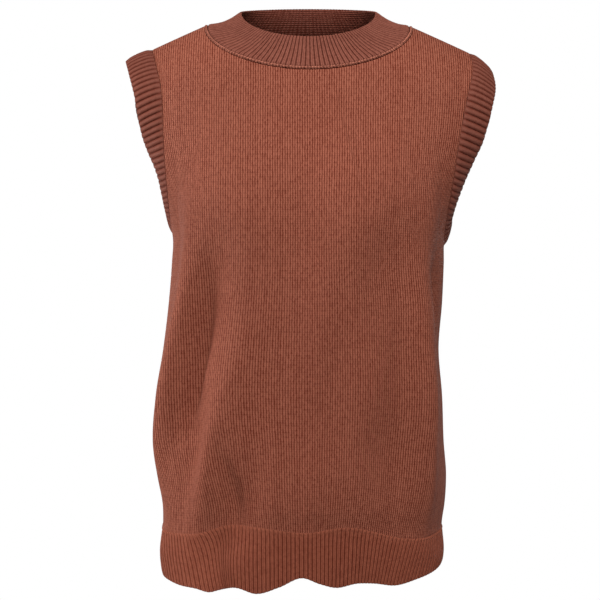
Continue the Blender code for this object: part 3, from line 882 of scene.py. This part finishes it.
    def top_edge(self, side: Side, place: Array) -> tuple[Array, Array]:
        """A panel's top edge: shoulder seam, neck seam as a dropped half ellipse, shoulder seam.

        Args:
            side: Front or back.
            place: Places along the edge, 0 at the left tip, counted in shoulder and neck columns.

        Returns:
            Angles and heights there.
        """
        first, last = self.shoulder_columns, self.shoulder_columns + self.neck_columns
        left_tip, right_tip = self.tip_reach[Hand.LEFT], self.tip_reach[Hand.RIGHT]
        left_neck, right_neck = self.neck_centre - self.neck_reach, self.neck_centre + self.neck_reach
        left = -left_tip + (left_tip + left_neck) * place / first
        right = right_neck + (right_tip - right_neck) * (place - last) / self.shoulder_columns
        share = np.clip((place - first) / self.neck_columns, 0, 1)
        turn = QUARTER * np.sin(np.pi * (share - 0.5))
        middle = self.neck_centre + self.neck_reach * np.sin(turn)
        corner = 0.5 * (self.shoulder_height(left_neck) * (1 - np.sin(turn))
                        + self.shoulder_height(right_neck) * (1 + np.sin(turn)))
        neck = corner - self.neck_drop[side] * np.cos(turn)
        reach = np.where(place < first, left, np.where(place > last, right, middle))
        on_neck = (place >= first) & (place <= last)
        height = np.where(on_neck, neck, self.shoulder_height(reach))
        return self.angle_at(side, reach, height), height

    def armhole_edge(self, side: Side, hand: Hand, share: Array) -> tuple[Array, Array]:
        """An armhole seam, its angle read smoothly from the table and its last point at the shoulder's tip.

        Args:
            side: Front or back.
            hand: Left or right armhole.
            share: Shares of its height, 0 at the underarm.

        Returns:
            Angles and heights there.
        """
        tip = self.shoulder_height(self.tip_reach[hand])
        angles = np.radians(column(ARMHOLE_SEAM, f"{side.name}_{hand.name}".lower()))
        angles[-1] = abs(float(self.angle_at(side, hand.value * self.tip_reach[hand], tip)))
        angle = smooth_curve(column(ARMHOLE_SEAM, "share"), angles, share)
        return hand.value * angle, self.underarm[hand] + (tip - self.underarm[hand]) * share

    def girth_table(self, side: Side) -> tuple[Array, Array, Array]:
        """Length round the cloth from the centre: sums of sqrt(r^2 + r'^2) steps over the angle.

        Args:
            side: Front or back.

        Returns:
            Heights, angles and the lengths, heights by angles.
        """
        heights = np.linspace(SECTIONS[-1].height, SECTIONS[0].height, self.girth_heights) * MM
        angles = np.linspace(-self.girth_limit, self.girth_limit, self.girth_angles)
        radius = self.cloth_radius(side, *np.meshgrid(angles, heights))
        speed = np.hypot(radius, np.gradient(radius, angles, axis=1))
        steps = 0.5 * (speed[:, 1:] + speed[:, :-1]) * (angles[1] - angles[0])
        length = np.insert(np.cumsum(steps, axis=1), 0, 0, axis=1)
        return heights, angles, length - length[:, self.girth_angles // 2][:, None]

    @staticmethod
    def read_table(table: tuple, angle: Array, height: Array) -> Array:
        """Read a girth table linearly between the four nearest entries.

        Args:
            table: Heights, angles and lengths.
            angle: Angles to read at.
            height: Heights to read at.

        Returns:
            Lengths there.
        """
        heights, angles, length = table
        row, place = (np.clip((at - axis[0]) / (axis[1] - axis[0]), 0, len(axis) - 1 - CELL_MARGIN)
                      for at, axis in ((height, heights), (angle, angles)))
        i, j = row.astype(int), place.astype(int)
        s, t = row - i, place - j
        near = length[i, j] * (1 - t) + length[i, j + 1] * t
        far = length[i + 1, j] * (1 - t) + length[i + 1, j + 1] * t
        return near * (1 - s) + far * s

    def stitch_place(self, side: Side, angle: Array, height: Array) -> tuple[Array, Array]:
        """Count the stitches from the centre and from the hem seam.

        Wales count the length round the cloth. Below the wale height, where the panel's sides are
        straight, that length is scaled so that a quarter turn keeps the wales it has there. Courses count
        the height above the hem joint up to the shoulder roll, and over it the length of a quarter
        ellipse, summed from the roll's start.

        Args:
            side: Front or back.
            angle: Angles.
            height: Heights.

        Returns:
            Wale and course numbers.
        """
        table = self.girth_table(side)
        above = (height - self.wale_height) / self.wale_blend
        level = self.wale_height + self.wale_blend * np.logaddexp(0, above)
        quarter = np.where(angle < 0, -QUARTER, QUARTER)
        kept = self.read_table(table, quarter, level) / self.read_table(table, quarter, height)
        girth = self.read_table(table, angle, height) * kept
        radius = self.section_radius(side, angle, height)
        seam = self.shoulder_height(radius * np.sin(angle))
        turn = np.arccos(1 - np.clip((seam - height) / self.shoulder_roll, 0, 1))
        depth = radius * np.abs(np.cos(angle))
        marks = (np.arange(self.roll_marks) + 0.5) / self.roll_marks
        at = turn[..., None] + (QUARTER - turn)[..., None] * marks
        speed = np.hypot(depth[..., None] * np.cos(at), self.shoulder_roll * np.sin(at))
        rolled = speed.mean(axis=-1) * (QUARTER - turn)
        joint = self.joint_rise(side, angle) * np.exp(-(height - self.hem_seam) / self.joint_fade)
        path = np.minimum(height, seam - self.shoulder_roll) - (self.hem_seam + joint) + rolled
        return girth / WALE, path / COURSE


@dataclass
class JerseyPanel:
    """Front or back of the body: a jersey wall cut at the shoulders, neck and armholes."""

    form: BodyForm
    side: Side
    wall: float = 0.0020
    columns_each: int = 10        # fine columns to each of the form's columns
    end_column: float = 0.04      # place of an extra line beside the first and the last column
    lower_rows: int = 113         # with the rows above, an even number of steps for the wrong side
    low_row: float = 0.0015       # share at which an extra row lies above the hem joint
    upper_rows: int = 110
    row_crowding: float = 1.1
    row_easing: float = 0.06      # keeps the rows at the underarm from crowding too far
    edge_sink: float = 0.00045    # the cloth's edge turns in by this much at a seam
    edge_reach: float = 0.0011
    points: Array = field(init=False)
    normals: Array = field(init=False)
    knit: Array = field(init=False)
    edge_shares: Array = field(init=False)

    def __post_init__(self) -> None:
        """Work out the face, its directions and its stitch coordinates."""
        angle, height = self.map()
        self.points = self.form.point(self.side, angle, height)
        self.normals = self.form.normal(self.side, angle, height)
        self.close_shoulders()
        wale, course = self.form.stitch_place(self.side, angle, height)
        self.knit = knit_grid(wale, course, np.zeros(1))

    def column_places(self) -> Array:
        """Even places along the top edge's columns, with an extra line close to each end.

        Returns:
            Places, 0 at the left tip.
        """
        last = 2 * self.form.shoulder_columns + self.form.neck_columns
        even = np.linspace(0, last, last * self.columns_each + 1)
        return np.sort(np.append(even, [self.end_column, last - self.end_column]))

    def row_shares(self) -> tuple[Array, Array]:
        """Space the rows: the lower ones as a power of even steps, the upper ones as a cosine of them.

        Returns:
            Rows below the underarm, as shares of the way up to it, and above it, as shares of the armhole.
        """
        lower = (np.arange(self.lower_rows) / self.lower_rows) ** self.row_crowding
        turn = np.pi * (self.row_easing + (1 - self.row_easing) * np.linspace(0, 1, self.upper_rows + 1))
        start = math.cos(math.pi * self.row_easing)
        return np.sort(np.append(lower, self.low_row)), (start - np.cos(turn)) / (start + 1)

    def map(self) -> tuple[Array, Array]:
        """Lay the grid over the panel, bottom row first.

        Above the underarm a row blends from even columns to the top edge's columns, and what then
        misses an armhole seam is made up by a shift that dies away as (1 - across)^3 from that side.

        Returns:
            Angles and heights of the grid.
        """
        place = self.column_places()
        lower, rows = self.row_shares()
        self.edge_shares = rows
        across = place / place[-1]
        fade = self.form.shift_fade
        top = self.form.top_edge(self.side, place)
        lefts, rights = (self.form.armhole_edge(self.side, hand, rows) for hand in Hand)
        upper = []
        for left, right, edge in zip(lefts, rights, top):
            low = left[0] + (right[0] - left[0]) * across
            blend = low + rows[:, None] * (edge - low)
            left_miss, right_miss = (line - line[0] - (line[-1] - line[0]) * rows for line in (left, right))
            upper.append(blend + left_miss[:, None] * (1 - across) ** fade
                         + right_miss[:, None] * across ** fade)
        angle, height = upper
        seam = self.form.hem_seam + self.form.joint_rise(self.side, angle[:1])
        height = np.vstack([seam + (height[:1] - seam) * lower[:, None], height])
        angle = np.vstack([np.repeat(angle[:1], len(lower), axis=0), angle])
        inset = 0.5 * SEAM_GAP / self.form.section_radius(self.side, angle, height)
        below = slice(0, len(lower) + 1)
        angle[below, 0] += inset[below, 0]
        angle[below, -1] -= inset[below, -1]
        return angle, height

    def close_shoulders(self) -> None:
        """Bring the shoulder seam's points to half a gap from the centre plane, facing up."""
        width = self.form.shoulder_columns * self.columns_each + 2
        for columns in (slice(0, width), slice(-width, None)):
            reach = self.points[-1, columns, 0]
            slope = self.form.shoulder_slope * reach / np.hypot(reach, self.form.shoulder_softness)
            self.points[-1, columns, 1] = self.side.value * 0.5 * SEAM_GAP
            self.normals[-1, columns] = unit(np.column_stack([slope, 0 * slope, 1 + 0 * slope]))

    def from_edge(self) -> Array:
        """Distance of each point from the panel's sides and top, summed along its row and its column."""
        run, climb = lengths_along(self.points, 1), lengths_along(self.points, 0)
        return np.minimum(np.minimum(run, run[:, -1:] - run), climb[-1:] - climb)

    def surface(self) -> Surface:
        """Close the wall: a fine face, a plain wrong side with every other line, and rims between them.

        The face sinks beside its edges by sink exp(-(distance / reach)^2).

        Returns:
            The closed wall.
        """
        sink = self.edge_sink * np.exp(-(self.from_edge() / self.edge_reach) ** 2)
        outer = self.points - self.normals * sink[..., None]
        inner = (self.points - self.normals * self.wall)[::2, ::2]
        wrong = self.knit[::2, ::2] + np.array([0.0, 0.0, 1.0])
        front = np.arange(outer[..., 0].size).reshape(outer.shape[:2])
        back = front.size + np.arange(inner[..., 0].size).reshape(inner.shape[:2])
        quads = np.concatenate([grid_quads(front), grid_quads(back)[:, ::-1]])
        rims = np.concatenate([
            rim_triangles(front[0], back[0]),
            rim_triangles(front[-1], back[-1])[:, ::-1],
            rim_triangles(front[:, 0], back[:, 0])[:, ::-1],
            rim_triangles(front[:, -1], back[:, -1]),
        ])
        points = np.concatenate([outer.reshape(-1, 3), inner.reshape(-1, 3)])
        knit = np.concatenate([self.knit.reshape(-1, 3), wrong.reshape(-1, 3)])
        return Surface(points, knit, quads, rims)

    def armhole_line(self, hand: Hand) -> Array:
        """Points, directions and shares of the armhole edge on one hand, from the underarm up."""
        edge = (slice(-len(self.edge_shares), None), 0 if hand is Hand.LEFT else -1)
        return np.column_stack([self.points[edge], self.normals[edge], self.edge_shares])

    def neck_line(self) -> Array:
        """The neck edge, from left to right.

        Returns:
            A row of point and direction for each column.
        """
        first = self.form.shoulder_columns * self.columns_each + 1
        neck = slice(first, first + self.form.neck_columns * self.columns_each + 1)
        return np.hstack([self.points[-1, neck], self.normals[-1, neck]])


@dataclass
class RibBand:
    """What all rib bands share: a wall with rounded rims, domed ribs outside and their grooves inside."""

    ribs: int
    rib_rise: float
    rib_columns: int              # columns to a rib
    seam_fade: float              # distance over which the ribs rise from the flush seam
    wall: float = 0.0018
    rim_turns: tuple[float, ...] = (45.0, 90.0, 135.0)
    seam_rim: float = 0.2         # how far the rim at the seam bulges, as a share of a half circle
    edge_rim: float = 0.9
    dome: float = 2.4             # exponent of a rib's cross-section
    groove_depth: float = 0.0003
    edge_fade: float = 0.0022     # distance over which the ribs sink again towards the free edge
    edge_share: float = 0.45      # what is left of the ribs there

    def rib_wave(self, columns: int, along: Array) -> Array:
        """Raise the ribs.

        Across, the rise is rise sqrt(1 - |2 phase - 1|^dome) less the groove's depth. Along the band it
        grows from nothing at the seam as 1 - exp(-(distance / fade)^2) and shrinks likewise to its edge
        share.

        Args:
            columns: Number of columns.
            along: Distance of each row from the seam.

        Returns:
            Rises, rows by columns.
        """
        phase = (np.arange(columns) % self.rib_columns) / self.rib_columns
        dome = np.sqrt(1 - np.abs(2 * phase - 1) ** self.dome)
        wave = (self.rib_rise + self.groove_depth) * dome - self.groove_depth
        start = 1 - np.exp(-(along / self.seam_fade) ** 2)
        end = 1 - (1 - self.edge_share) * np.exp(-((along[-1] - along) / self.edge_fade) ** 2)
        return wave[None, :] * (start * end)[:, None]

    def band_surface(self, face: Array, facing: Array, along: Array, closed: bool) -> Surface:
        """Close a band's wall, row by row from its seam to its edge and back on the wrong side.

        Args:
            face: Points of the face at a groove, rows by columns.
            facing: Outward directions there.
            along: Distance of each row from the seam, one number a row.
            closed: Whether the band is a ring.

        Returns:
            The wall with its ribs and its rounded rims.
        """
        columns, count = face.shape[1], len(along)
        wave = self.rib_wave(columns, along)[:, :, None]
        outer = face + facing * wave
        inner = face - facing * (self.wall - 0.5 * (self.rib_rise - wave))
        turns = np.radians(self.rim_turns)
        rims = []
        for row, neighbour, bulge in ((-1, -2, self.edge_rim), (0, 1, self.seam_rim)):
            middle = 0.5 * (outer[row] + inner[row])
            half = 0.5 * (outer[row] - inner[row])
            onward = unit(face[row] - face[neighbour]) * np.linalg.norm(half, axis=1, keepdims=True) * bulge
            rims.append([middle + half * math.cos(turn) + onward * math.sin(turn) for turn in turns])
        rows = np.stack([*outer, *rims[0], *inner[::-1], *rims[1][::-1]])
        bulge = 0.5 * self.wall * np.sin(turns)
        course = np.concatenate([along, along[-1] + bulge * self.edge_rim, along[::-1],
                                 along[0] - bulge * self.seam_rim]) / COURSE
        wrong = np.repeat([0.0, 0.0, 1.0, 1.0], [count, len(turns), count, len(turns)])
        knit = knit_grid(np.arange(columns) / self.rib_columns, course[:, None], wrong[:, None])
        numbers = np.arange(rows.shape[0] * columns).reshape(rows.shape[0], columns)
        quads, caps = grid_quads(numbers, True, closed), NO_TRIANGLES
        if not closed:
            sides = [self.end_faces(numbers[:, end], count, end == 0) for end in (0, -1)]
            quads = np.concatenate([quads, *(ladder for ladder, _ in sides)])
            caps = np.concatenate([fans for _, fans in sides])
        return Surface(rows.reshape(-1, 3), knit.reshape(-1, 3), quads, caps)

    def end_faces(self, line: Array, count: int, first: bool) -> tuple[Array, Array]:
        """Close one end of an open band: a ladder across the wall, and a fan in each half-round rim.

        Args:
            line: Corner numbers round the wall at that end.
            count: Number of rows on each side of the wall.
            first: Whether it is the end with the first column.

        Returns:
            The ladder's quads and the fans' triangles.
        """
        turns = len(self.rim_turns)
        inside = line[count + turns:2 * count + turns][::-1]
        ladder = grid_quads(np.column_stack([line[:count], inside]))
        fans = []
        for rim in (line[count - 1:count + turns + 1], np.append(line[2 * count + turns - 1:], line[0])):
            corners = np.full(len(rim) - 2, rim[0])
            fans.append(np.stack([corners, rim[1:-1], rim[2:]], axis=1))
        fans = np.concatenate(fans)
        return (ladder, fans[:, ::-1]) if first else (ladder[:, ::-1], fans)


@dataclass
class HemBand(RibBand):
    """Half of the hem band, hanging from a panel's bottom edge, its ribs drifting to the pinches."""

    ribs: int = 96
    rib_rise: float = 0.0007
    rib_columns: int = 8
    seam_fade: float = 0.0040
    seam_rim: float = 0.05
    drift_power: float = 0.8
    loop_rise: float = 0.0009     # gathered loops at the top of the ribs
    loop_place: float = 0.0016
    loop_length: float = 0.0011
    rows: tuple[float, ...] = (0.0, 0.010, 0.020, 0.032, 0.045, 0.06, 0.08, 0.11, 0.15, 0.20, 0.27, 0.35,
                               0.43, 0.52, 0.61, 0.70, 0.79, 0.87, 0.93, 0.965, 1.0)

    def surface(self, panel: JerseyPanel) -> Surface:
        """Hang the band: a point is the body's at an angle that drifts with its share to a power.

        The loops at its top rise by exp(-((distance - place) / length)^2) sin^2(pi phase) on every rib.

        Args:
            panel: The jersey panel above it.

        Returns:
            The closed wall.
        """
        form, side, table = panel.form, panel.side, HEM_EDGE[panel.side]
        top = resample(panel.points[0], self.rib_columns * self.ribs, False)
        angle = np.arctan2(top[:, 0], side.value * top[:, 1])
        drift = read_rows(table, "angle", "drift", np.degrees(angle)) * MM
        drift /= np.linalg.norm(top[:, :2], axis=1)
        edge = read_rows(table, "angle", "height", np.degrees(angle + drift)) * MM
        start = form.hem_seam + form.joint_rise(side, angle) - SEAM_GAP
        share = np.array(self.rows)
        height = start + (edge + 0.5 * self.wall - start) * share[:, None]
        turn = angle + drift * share[:, None] ** self.drift_power
        facing = form.normal(side, turn, height)
        along = float(np.mean(start - edge)) * share
        bump = self.loop_rise * np.exp(-((along - self.loop_place) / self.loop_length) ** 2)
        loops = bump[:, None] * np.sin(np.pi * np.arange(len(angle)) / self.rib_columns) ** 2
        face = form.point(side, turn, height) + facing * loops[..., None]
        return self.band_surface(face, facing, along, False)


@dataclass
class ArmholeBand(RibBand):
    """Rib band round an armhole, its ribs slanting across it, leaning in towards the arm."""

    ribs: int = 80
    rib_rise: float = 0.0013
    rib_columns: int = 12
    seam_fade: float = 0.0032
    width: float = 0.030
    swell: float = 0.0015
    rows: int = 16
    row_crowding: float = 1.3
    late_row: float = 0.75        # place of the last row but one between its neighbours

    def surface(self, hand: Hand, front: JerseyPanel, back: JerseyPanel) -> Surface:
        """Pick up the band: seam plus its run times the share, bulged by 4 share (1 - share) of the swell.

        A rib's points slide along the band's own surface by the drift times the share, towards the
        underarm on both sides.

        Args:
            hand: Which armhole.
            front: The front panel.
            back: The back panel.

        Returns:
            The closed ring.
        """
        near, far = front.armhole_line(hand), back.armhole_line(hand)[::-1]
        sign = np.repeat([-1.0, 1.0], [len(near), len(far)])
        line = np.column_stack([np.vstack([near, far]), sign])
        line = resample(line, self.rib_columns * self.ribs, True)
        seam, facing, share = line[:, :3], unit(line[:, 3:6]), line[:, 6]
        lean = read_rows(ARMHOLE_SEAM, "share", f"{hand.name}_lean".lower(), share)[:, None]
        drift = line[:, 7] * read_rows(ARMHOLE_SEAM, "share", "drift", share) * MM
        middle = 0.5 * (seam[:, 2].max() + seam[:, 2].min())
        inward = unit(np.column_stack([0 * seam[:, 0], -seam[:, 1], middle - seam[:, 2]]))
        outward = np.array([hand.value, 0.0, 0.0])
        run = unit(outward * np.sqrt(1 - lean ** 2) + inward * lean)
        start = seam + off_the_seam(seam, facing, run) * SEAM_GAP
        steps = np.linspace(0, 1, self.rows) ** self.row_crowding
        steps[-2] = steps[-3] + self.late_row * (steps[-1] - steps[-3])
        reach = (self.width - 0.5 * self.wall) * steps
        bulge = self.swell * 4 * steps * (1 - steps)
        face = start + run * reach[:, None, None] + facing * bulge[:, None, None]
        spacing = float(np.linalg.norm(np.roll(seam, -1, axis=0) - seam, axis=1).mean())
        face = self.slide(face, steps[:, None] * drift / spacing)
        return self.band_surface(face, ring_normals(face, facing), reach, True)

    @staticmethod
    def slide(grid: Array, shift: Array) -> Array:
        """Move a ring's points round it, reading between columns linearly.

        Args:
            grid: Points, rows by columns.
            shift: How many columns each moves.

        Returns:
            The moved points.
        """
        count = grid.shape[1]
        place = np.arange(count) + shift
        low = np.floor(place).astype(int)
        part = (place - low)[..., None]
        rows = np.arange(grid.shape[0])[:, None]
        return grid[rows, low % count] * (1 - part) + grid[rows, (low + 1) % count] * part


@dataclass
class NeckSeam:
    """The closed neck edge of both panels, with the linked roll and the rib band that rise from it."""

    front: JerseyPanel
    back: JerseyPanel
    roll_radius: float = 0.0018
    roll_sink: float = 0.0002
    corner_sink: float = 0.0009   # how much deeper the roll lies at the shoulders
    roll_steps: int = 1400
    roll_sides: int = 14
    roll_wales: int = 2           # wales round the roll
    chain_pitch: float = 0.0032
    chain_depth: float = 0.0005
    chain_slant: float = 1.4      # how far a stitch runs on round the roll, in radians of its phase
    top_reach: float = 0.0697
    top_front: float = 0.056
    top_back: float = 0.050
    top_front_drop: float = 0.033
    top_back_rise: float = 0.011

    def loop(self) -> Array:
        """The seam, from the left corner by the front to the right and back.

        Returns:
            Rows of point and direction.
        """
        near, far = self.front.neck_line(), self.back.neck_line()[::-1]
        near[0] = 0.5 * (near[0] + far[-1])
        near[-1] = 0.5 * (near[-1] + far[0])
        return np.vstack([near, far[1:-1]])

    def top(self, seam: Array) -> Array:
        """The neckband's top edge: an ellipse at each seam point's turn, dropped in front, raised behind.

        Args:
            seam: Points round the seam.

        Returns:
            The edge's points.
        """
        centre, reach = self.front.form.neck_centre, self.front.form.neck_reach
        depth = np.where(seam[:, 1] < 0, -seam[:, 1].min(), seam[:, 1].max())
        turn = np.arctan2((seam[:, 0] - centre) / reach, -seam[:, 1] / depth)
        in_front = np.cos(turn) >= 0
        y = np.where(in_front, self.top_front, self.top_back) * -np.cos(turn)
        z = np.where(in_front, -self.top_front_drop, -self.top_back_rise) * np.cos(turn)
        return np.column_stack([centre + self.top_reach * np.sin(turn), y, z])

    def roll_surface(self) -> Surface:
        """Roll the linking: a ring of circles whose radius follows a chain of slanted stitches.

        The radius is r - depth (0.5 + 0.5 cos(2 pi length / pitch + slant s)), s being the angle round the
        circle mirrored about its top, so that the stitches meet in a V.

        Returns:
            The closed ring.
        """
        line = resample(self.loop(), self.roll_steps, True)
        seam, facing = line[:, :3], unit(line[:, 3:])
        run = off_the_seam(seam, facing, self.top(seam) - seam)
        aside = (seam[:, :1] - self.front.form.neck_centre) / self.front.form.neck_reach
        sink = self.roll_sink + self.corner_sink * aside ** 2
        axis = seam + run * (SEAM_GAP + self.roll_radius) - facing * sink
        turn = (2 * np.pi * np.arange(self.roll_sides) / self.roll_sides)[:, None]
        length = lengths_along(np.vstack([seam, seam[:1]]), 0)
        stitches = round(float(length[-1]) / self.chain_pitch)
        phase = 2 * np.pi * stitches * length[:-1] / length[-1]
        slant = np.abs((turn + np.pi) % (2 * np.pi) - np.pi)
        chain = 0.5 + 0.5 * np.cos(phase + self.chain_slant * slant)
        radius = self.roll_radius - self.chain_depth * chain
        circle = facing[None] * np.cos(turn)[..., None] + run[None] * np.sin(turn)[..., None]
        points = axis[None] + radius[..., None] * circle
        wale = self.roll_wales * turn / (2 * np.pi) + 0.5
        knit = knit_grid(wale, phase / (2 * np.pi), np.zeros(1))
        numbers = np.arange(radius.size).reshape(radius.shape)
        return Surface(points.reshape(-1, 3), knit.reshape(-1, 3), grid_quads(numbers, True, True))


@dataclass
class Neckband(RibBand):
    """Rib neckband, its ribs across it, standing in towards the neck from the linked roll."""

    ribs: int = 120
    rib_rise: float = 0.0010
    rib_columns: int = 8
    seam_fade: float = 0.0012
    dome: float = 2.0
    groove_depth: float = 0.0001
    seam_sink: float = 0.0010     # how far the band dips beside the roll
    sink_reach: float = 0.0016
    hollow: float = 0.0032
    rows: int = 14
    row_crowding: float = 1.2

    def surface(self, neck: NeckSeam) -> Surface:
        """Stand the band up, from the roll to the top edge.

        It is hollowed by 4 share (1 - share) of the hollow and dips beside the roll by
        sink exp(-(distance / reach)^2).

        Args:
            neck: The seam it rises from.

        Returns:
            The closed ring.
        """
        line = resample(neck.loop(), self.rib_columns * self.ribs, True)
        seam, facing = line[:, :3], unit(line[:, 3:])
        top = neck.top(seam)
        start = seam + off_the_seam(seam, facing, top - seam) * 2 * (SEAM_GAP + neck.roll_radius)
        steps = (np.linspace(0, 1, self.rows) ** self.row_crowding)[:, None, None]
        end = top - unit(top - start) * 0.5 * self.wall
        reach = float(np.linalg.norm(end - start, axis=1).mean())
        dip = self.hollow * 4 * steps * (1 - steps)
        dip = dip + self.seam_sink * np.exp(-(reach * steps / self.sink_reach) ** 2)
        face = start + (end - start) * steps - facing * dip
        return self.band_surface(face, ring_normals(face, facing), reach * steps[:, 0, 0], True)


@dataclass(frozen=True)
class SoftLight:
    """A square soft light: its place, the side of its square and its watts."""

    name: str
    place: Place
    size: float
    power: float

    def build(self, target: Place) -> None:
        """Hang the light.

        Args:
            target: Where it aims.
        """
        light = bpy.data.lights.new(self.name, "AREA")
        light.shape = "SQUARE"
        light.size = self.size
        light.energy = self.power
        lamp = place_object(self.name, light)
        lamp.location = self.place
        lamp.visible_camera = False
        lamp.rotation_euler = (Vector(target) - Vector(self.place)).to_track_quat("-Z", "Y").to_euler()


@dataclass
class Studio:
    """Plain pale floor far below, a high light in front, a level one at each of left and back, a camera."""

    camera_place: Place = (-0.0073, -1.9, -0.2995)
    pixel: float = 0.00104        # size of a pixel in the plane of the shoulders
    image_width: int = 600
    sensor: float = 36.0
    floor_height: float = -1.42
    floor_radius: float = 4.0
    floor_sides: int = 96
    floor_colour: Colour = (0.80, 0.80, 0.79)
    floor_change: float = 0.04    # how much darker the floor is where its noise is low
    floor_scale: float = 1.5
    floor_roughness: float = 0.9
    horizon_glow: float = 1.0     # brightness of the surround where it is seen level
    upper_glow: float = 0.15      # and away from the horizon
    glow_start: float = 0.164     # sine of the height over the horizon where the glow starts to fade
    glow_end: float = 0.20        # and where it has gone
    target: Place = (0.0, 0.0, -0.28)
    lights: tuple[SoftLight, ...] = (
        SoftLight("key_light", (0.11, -1.27, 1.13), 0.6, 34.0),
        SoftLight("side_light", (-1.98, 0.17, -0.10), 0.8, 33.0),
        SoftLight("back_light", (0.0, 2.3, -0.10), 1.0, 26.0),
    )

    def build(self) -> None:
        """Make the floor, the world, the lights and the camera."""
        self.build_floor()
        self.build_world()
        for light in self.lights:
            light.build(self.target)
        self.build_camera()

    def build_floor(self) -> None:
        """A round plain floor."""
        turn = 2 * np.pi * np.arange(self.floor_sides) / self.floor_sides
        rim = np.column_stack([np.cos(turn), np.sin(turn), 0 * turn]) * self.floor_radius
        rim[:, 2] = self.floor_height
        mesh = bpy.data.meshes.new("floor")
        mesh.from_pydata(rim.tolist(), [], [tuple(range(self.floor_sides))])
        material, graph = new_material("floor_paint")
        shade = graph.math("MULTIPLY_ADD", graph.cloud(self.floor_scale), self.floor_change,
                           1 - 0.5 * self.floor_change)
        dark = tuple((1 - self.floor_change) * part for part in self.floor_colour)
        colour = graph.mix_colour(shade, dark, self.floor_colour)
        graph.feed(graph.tree.nodes["Principled BSDF"],
                   {"Base Color": colour, "Roughness": self.floor_roughness})
        mesh.materials.append(material)
        place_object("floor", mesh)

    def build_world(self) -> None:
        """A pale surround, white about the horizon and dimmer above and below, that fills the shadows."""
        world = bpy.data.worlds.new("surround")
        world.use_nodes = True
        graph = NodeGraph(world.node_tree)
        place = graph.node("TexCoord", {}).outputs["Generated"]
        level = graph.math("ABSOLUTE", graph.node("SeparateXYZ", {0: place}).outputs[2])
        limits = (level, self.glow_start, self.glow_end, self.horizon_glow, self.upper_glow)
        glow = graph.node("MapRange", dict(enumerate(limits)), interpolation_type="SMOOTHSTEP").outputs[0]
        graph.feed(graph.tree.nodes["Background"], {"Color": (1.0, 1.0, 1.0, 1.0), "Strength": glow})
        bpy.context.scene.world = world
        bpy.context.scene.view_settings.view_transform = "Standard"

    def build_camera(self) -> None:
        """A level camera straight in front, its lens worked out from the size of a pixel."""
        data = bpy.data.cameras.new("camera")
        data.sensor_width = self.sensor
        data.lens = self.sensor * (-self.camera_place[1] / self.pixel) / self.image_width
        camera = place_object("camera", data)
        camera.location = self.camera_place
        camera.rotation_euler = (math.radians(90), 0.0, 0.0)
        bpy.context.scene.camera = camera


# Each finish's dark colour is painted shade in its grooves; the jersey's light colour is paled in part as a
# painted highlight on the yarn.
JERSEY = KnitFinish("jersey_knit", light=(0.342, 0.111, 0.068), dark=(0.100, 0.010, 0.003))
# gather paints a highlight on the hem rib's gathered loops
HEM_RIB = KnitFinish("hem_rib_knit", light=(0.276, 0.079, 0.045), dark=(0.115, 0.019, 0.009),
                     crown=0.15, strand=0.12, leg_change=0.30, gather=1.5)
NECK_RIB = KnitFinish("neck_rib_knit", light=(0.258, 0.086, 0.058), dark=(0.070, 0.011, 0.005),
                      crown=0.15, strand=0.10, leg_change=0.25)
ARMHOLE_RIB = KnitFinish("armhole_rib_knit", light=(0.190, 0.062, 0.042), dark=(0.110, 0.022, 0.012),
                         crown=0.5, strand=0.06, leg_change=0.20)
LINKING = KnitFinish("linking_chain", light=(0.450, 0.160, 0.105), dark=(0.060, 0.006, 0.002), strand=0.50)


def main() -> None:
    """Build the studio and every piece in the order in which the vest is sewn."""
    logging.basicConfig(level=logging.INFO, format="%(name)s: %(message)s")
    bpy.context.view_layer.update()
    Studio().build()
    jersey, hem_rib, rib = JERSEY.material(), HEM_RIB.material(), ARMHOLE_RIB.material()
    form = BodyForm()
    front, back = JerseyPanel(form, Side.FRONT), JerseyPanel(form, Side.BACK)
    front_piece = Piece("front_jersey", "front_body", "jersey", jersey).build(front.surface())
    back_piece = Piece("back_jersey", "back_body", "jersey", jersey).build(back.surface())
    hem = HemBand()
    hem_front = Piece("front_hem_rib", "hem_band_front", "rib", hem_rib).build(hem.surface(front))
    hem_back = Piece("back_hem_rib", "hem_band_back", "rib", hem_rib).build(hem.surface(back))
    band = ArmholeBand()
    left = Piece("left_armhole_rib", "armhole_band_left", "rib", rib)
    left_band = left.build(band.surface(Hand.LEFT, front, back))
    right = Piece("right_armhole_rib", "armhole_band_right", "rib", rib)
    right_band = right.build(band.surface(Hand.RIGHT, front, back))
    neck = NeckSeam(front, back)
    roll = Piece("neck_linking", "neck_seam_roll", "rib", LINKING.material()).build(neck.roll_surface())
    neckband = Piece("neck_rib", "neckband", "rib", NECK_RIB.material()).build(Neckband().surface(neck))


if __name__ == "__main__":
    main()
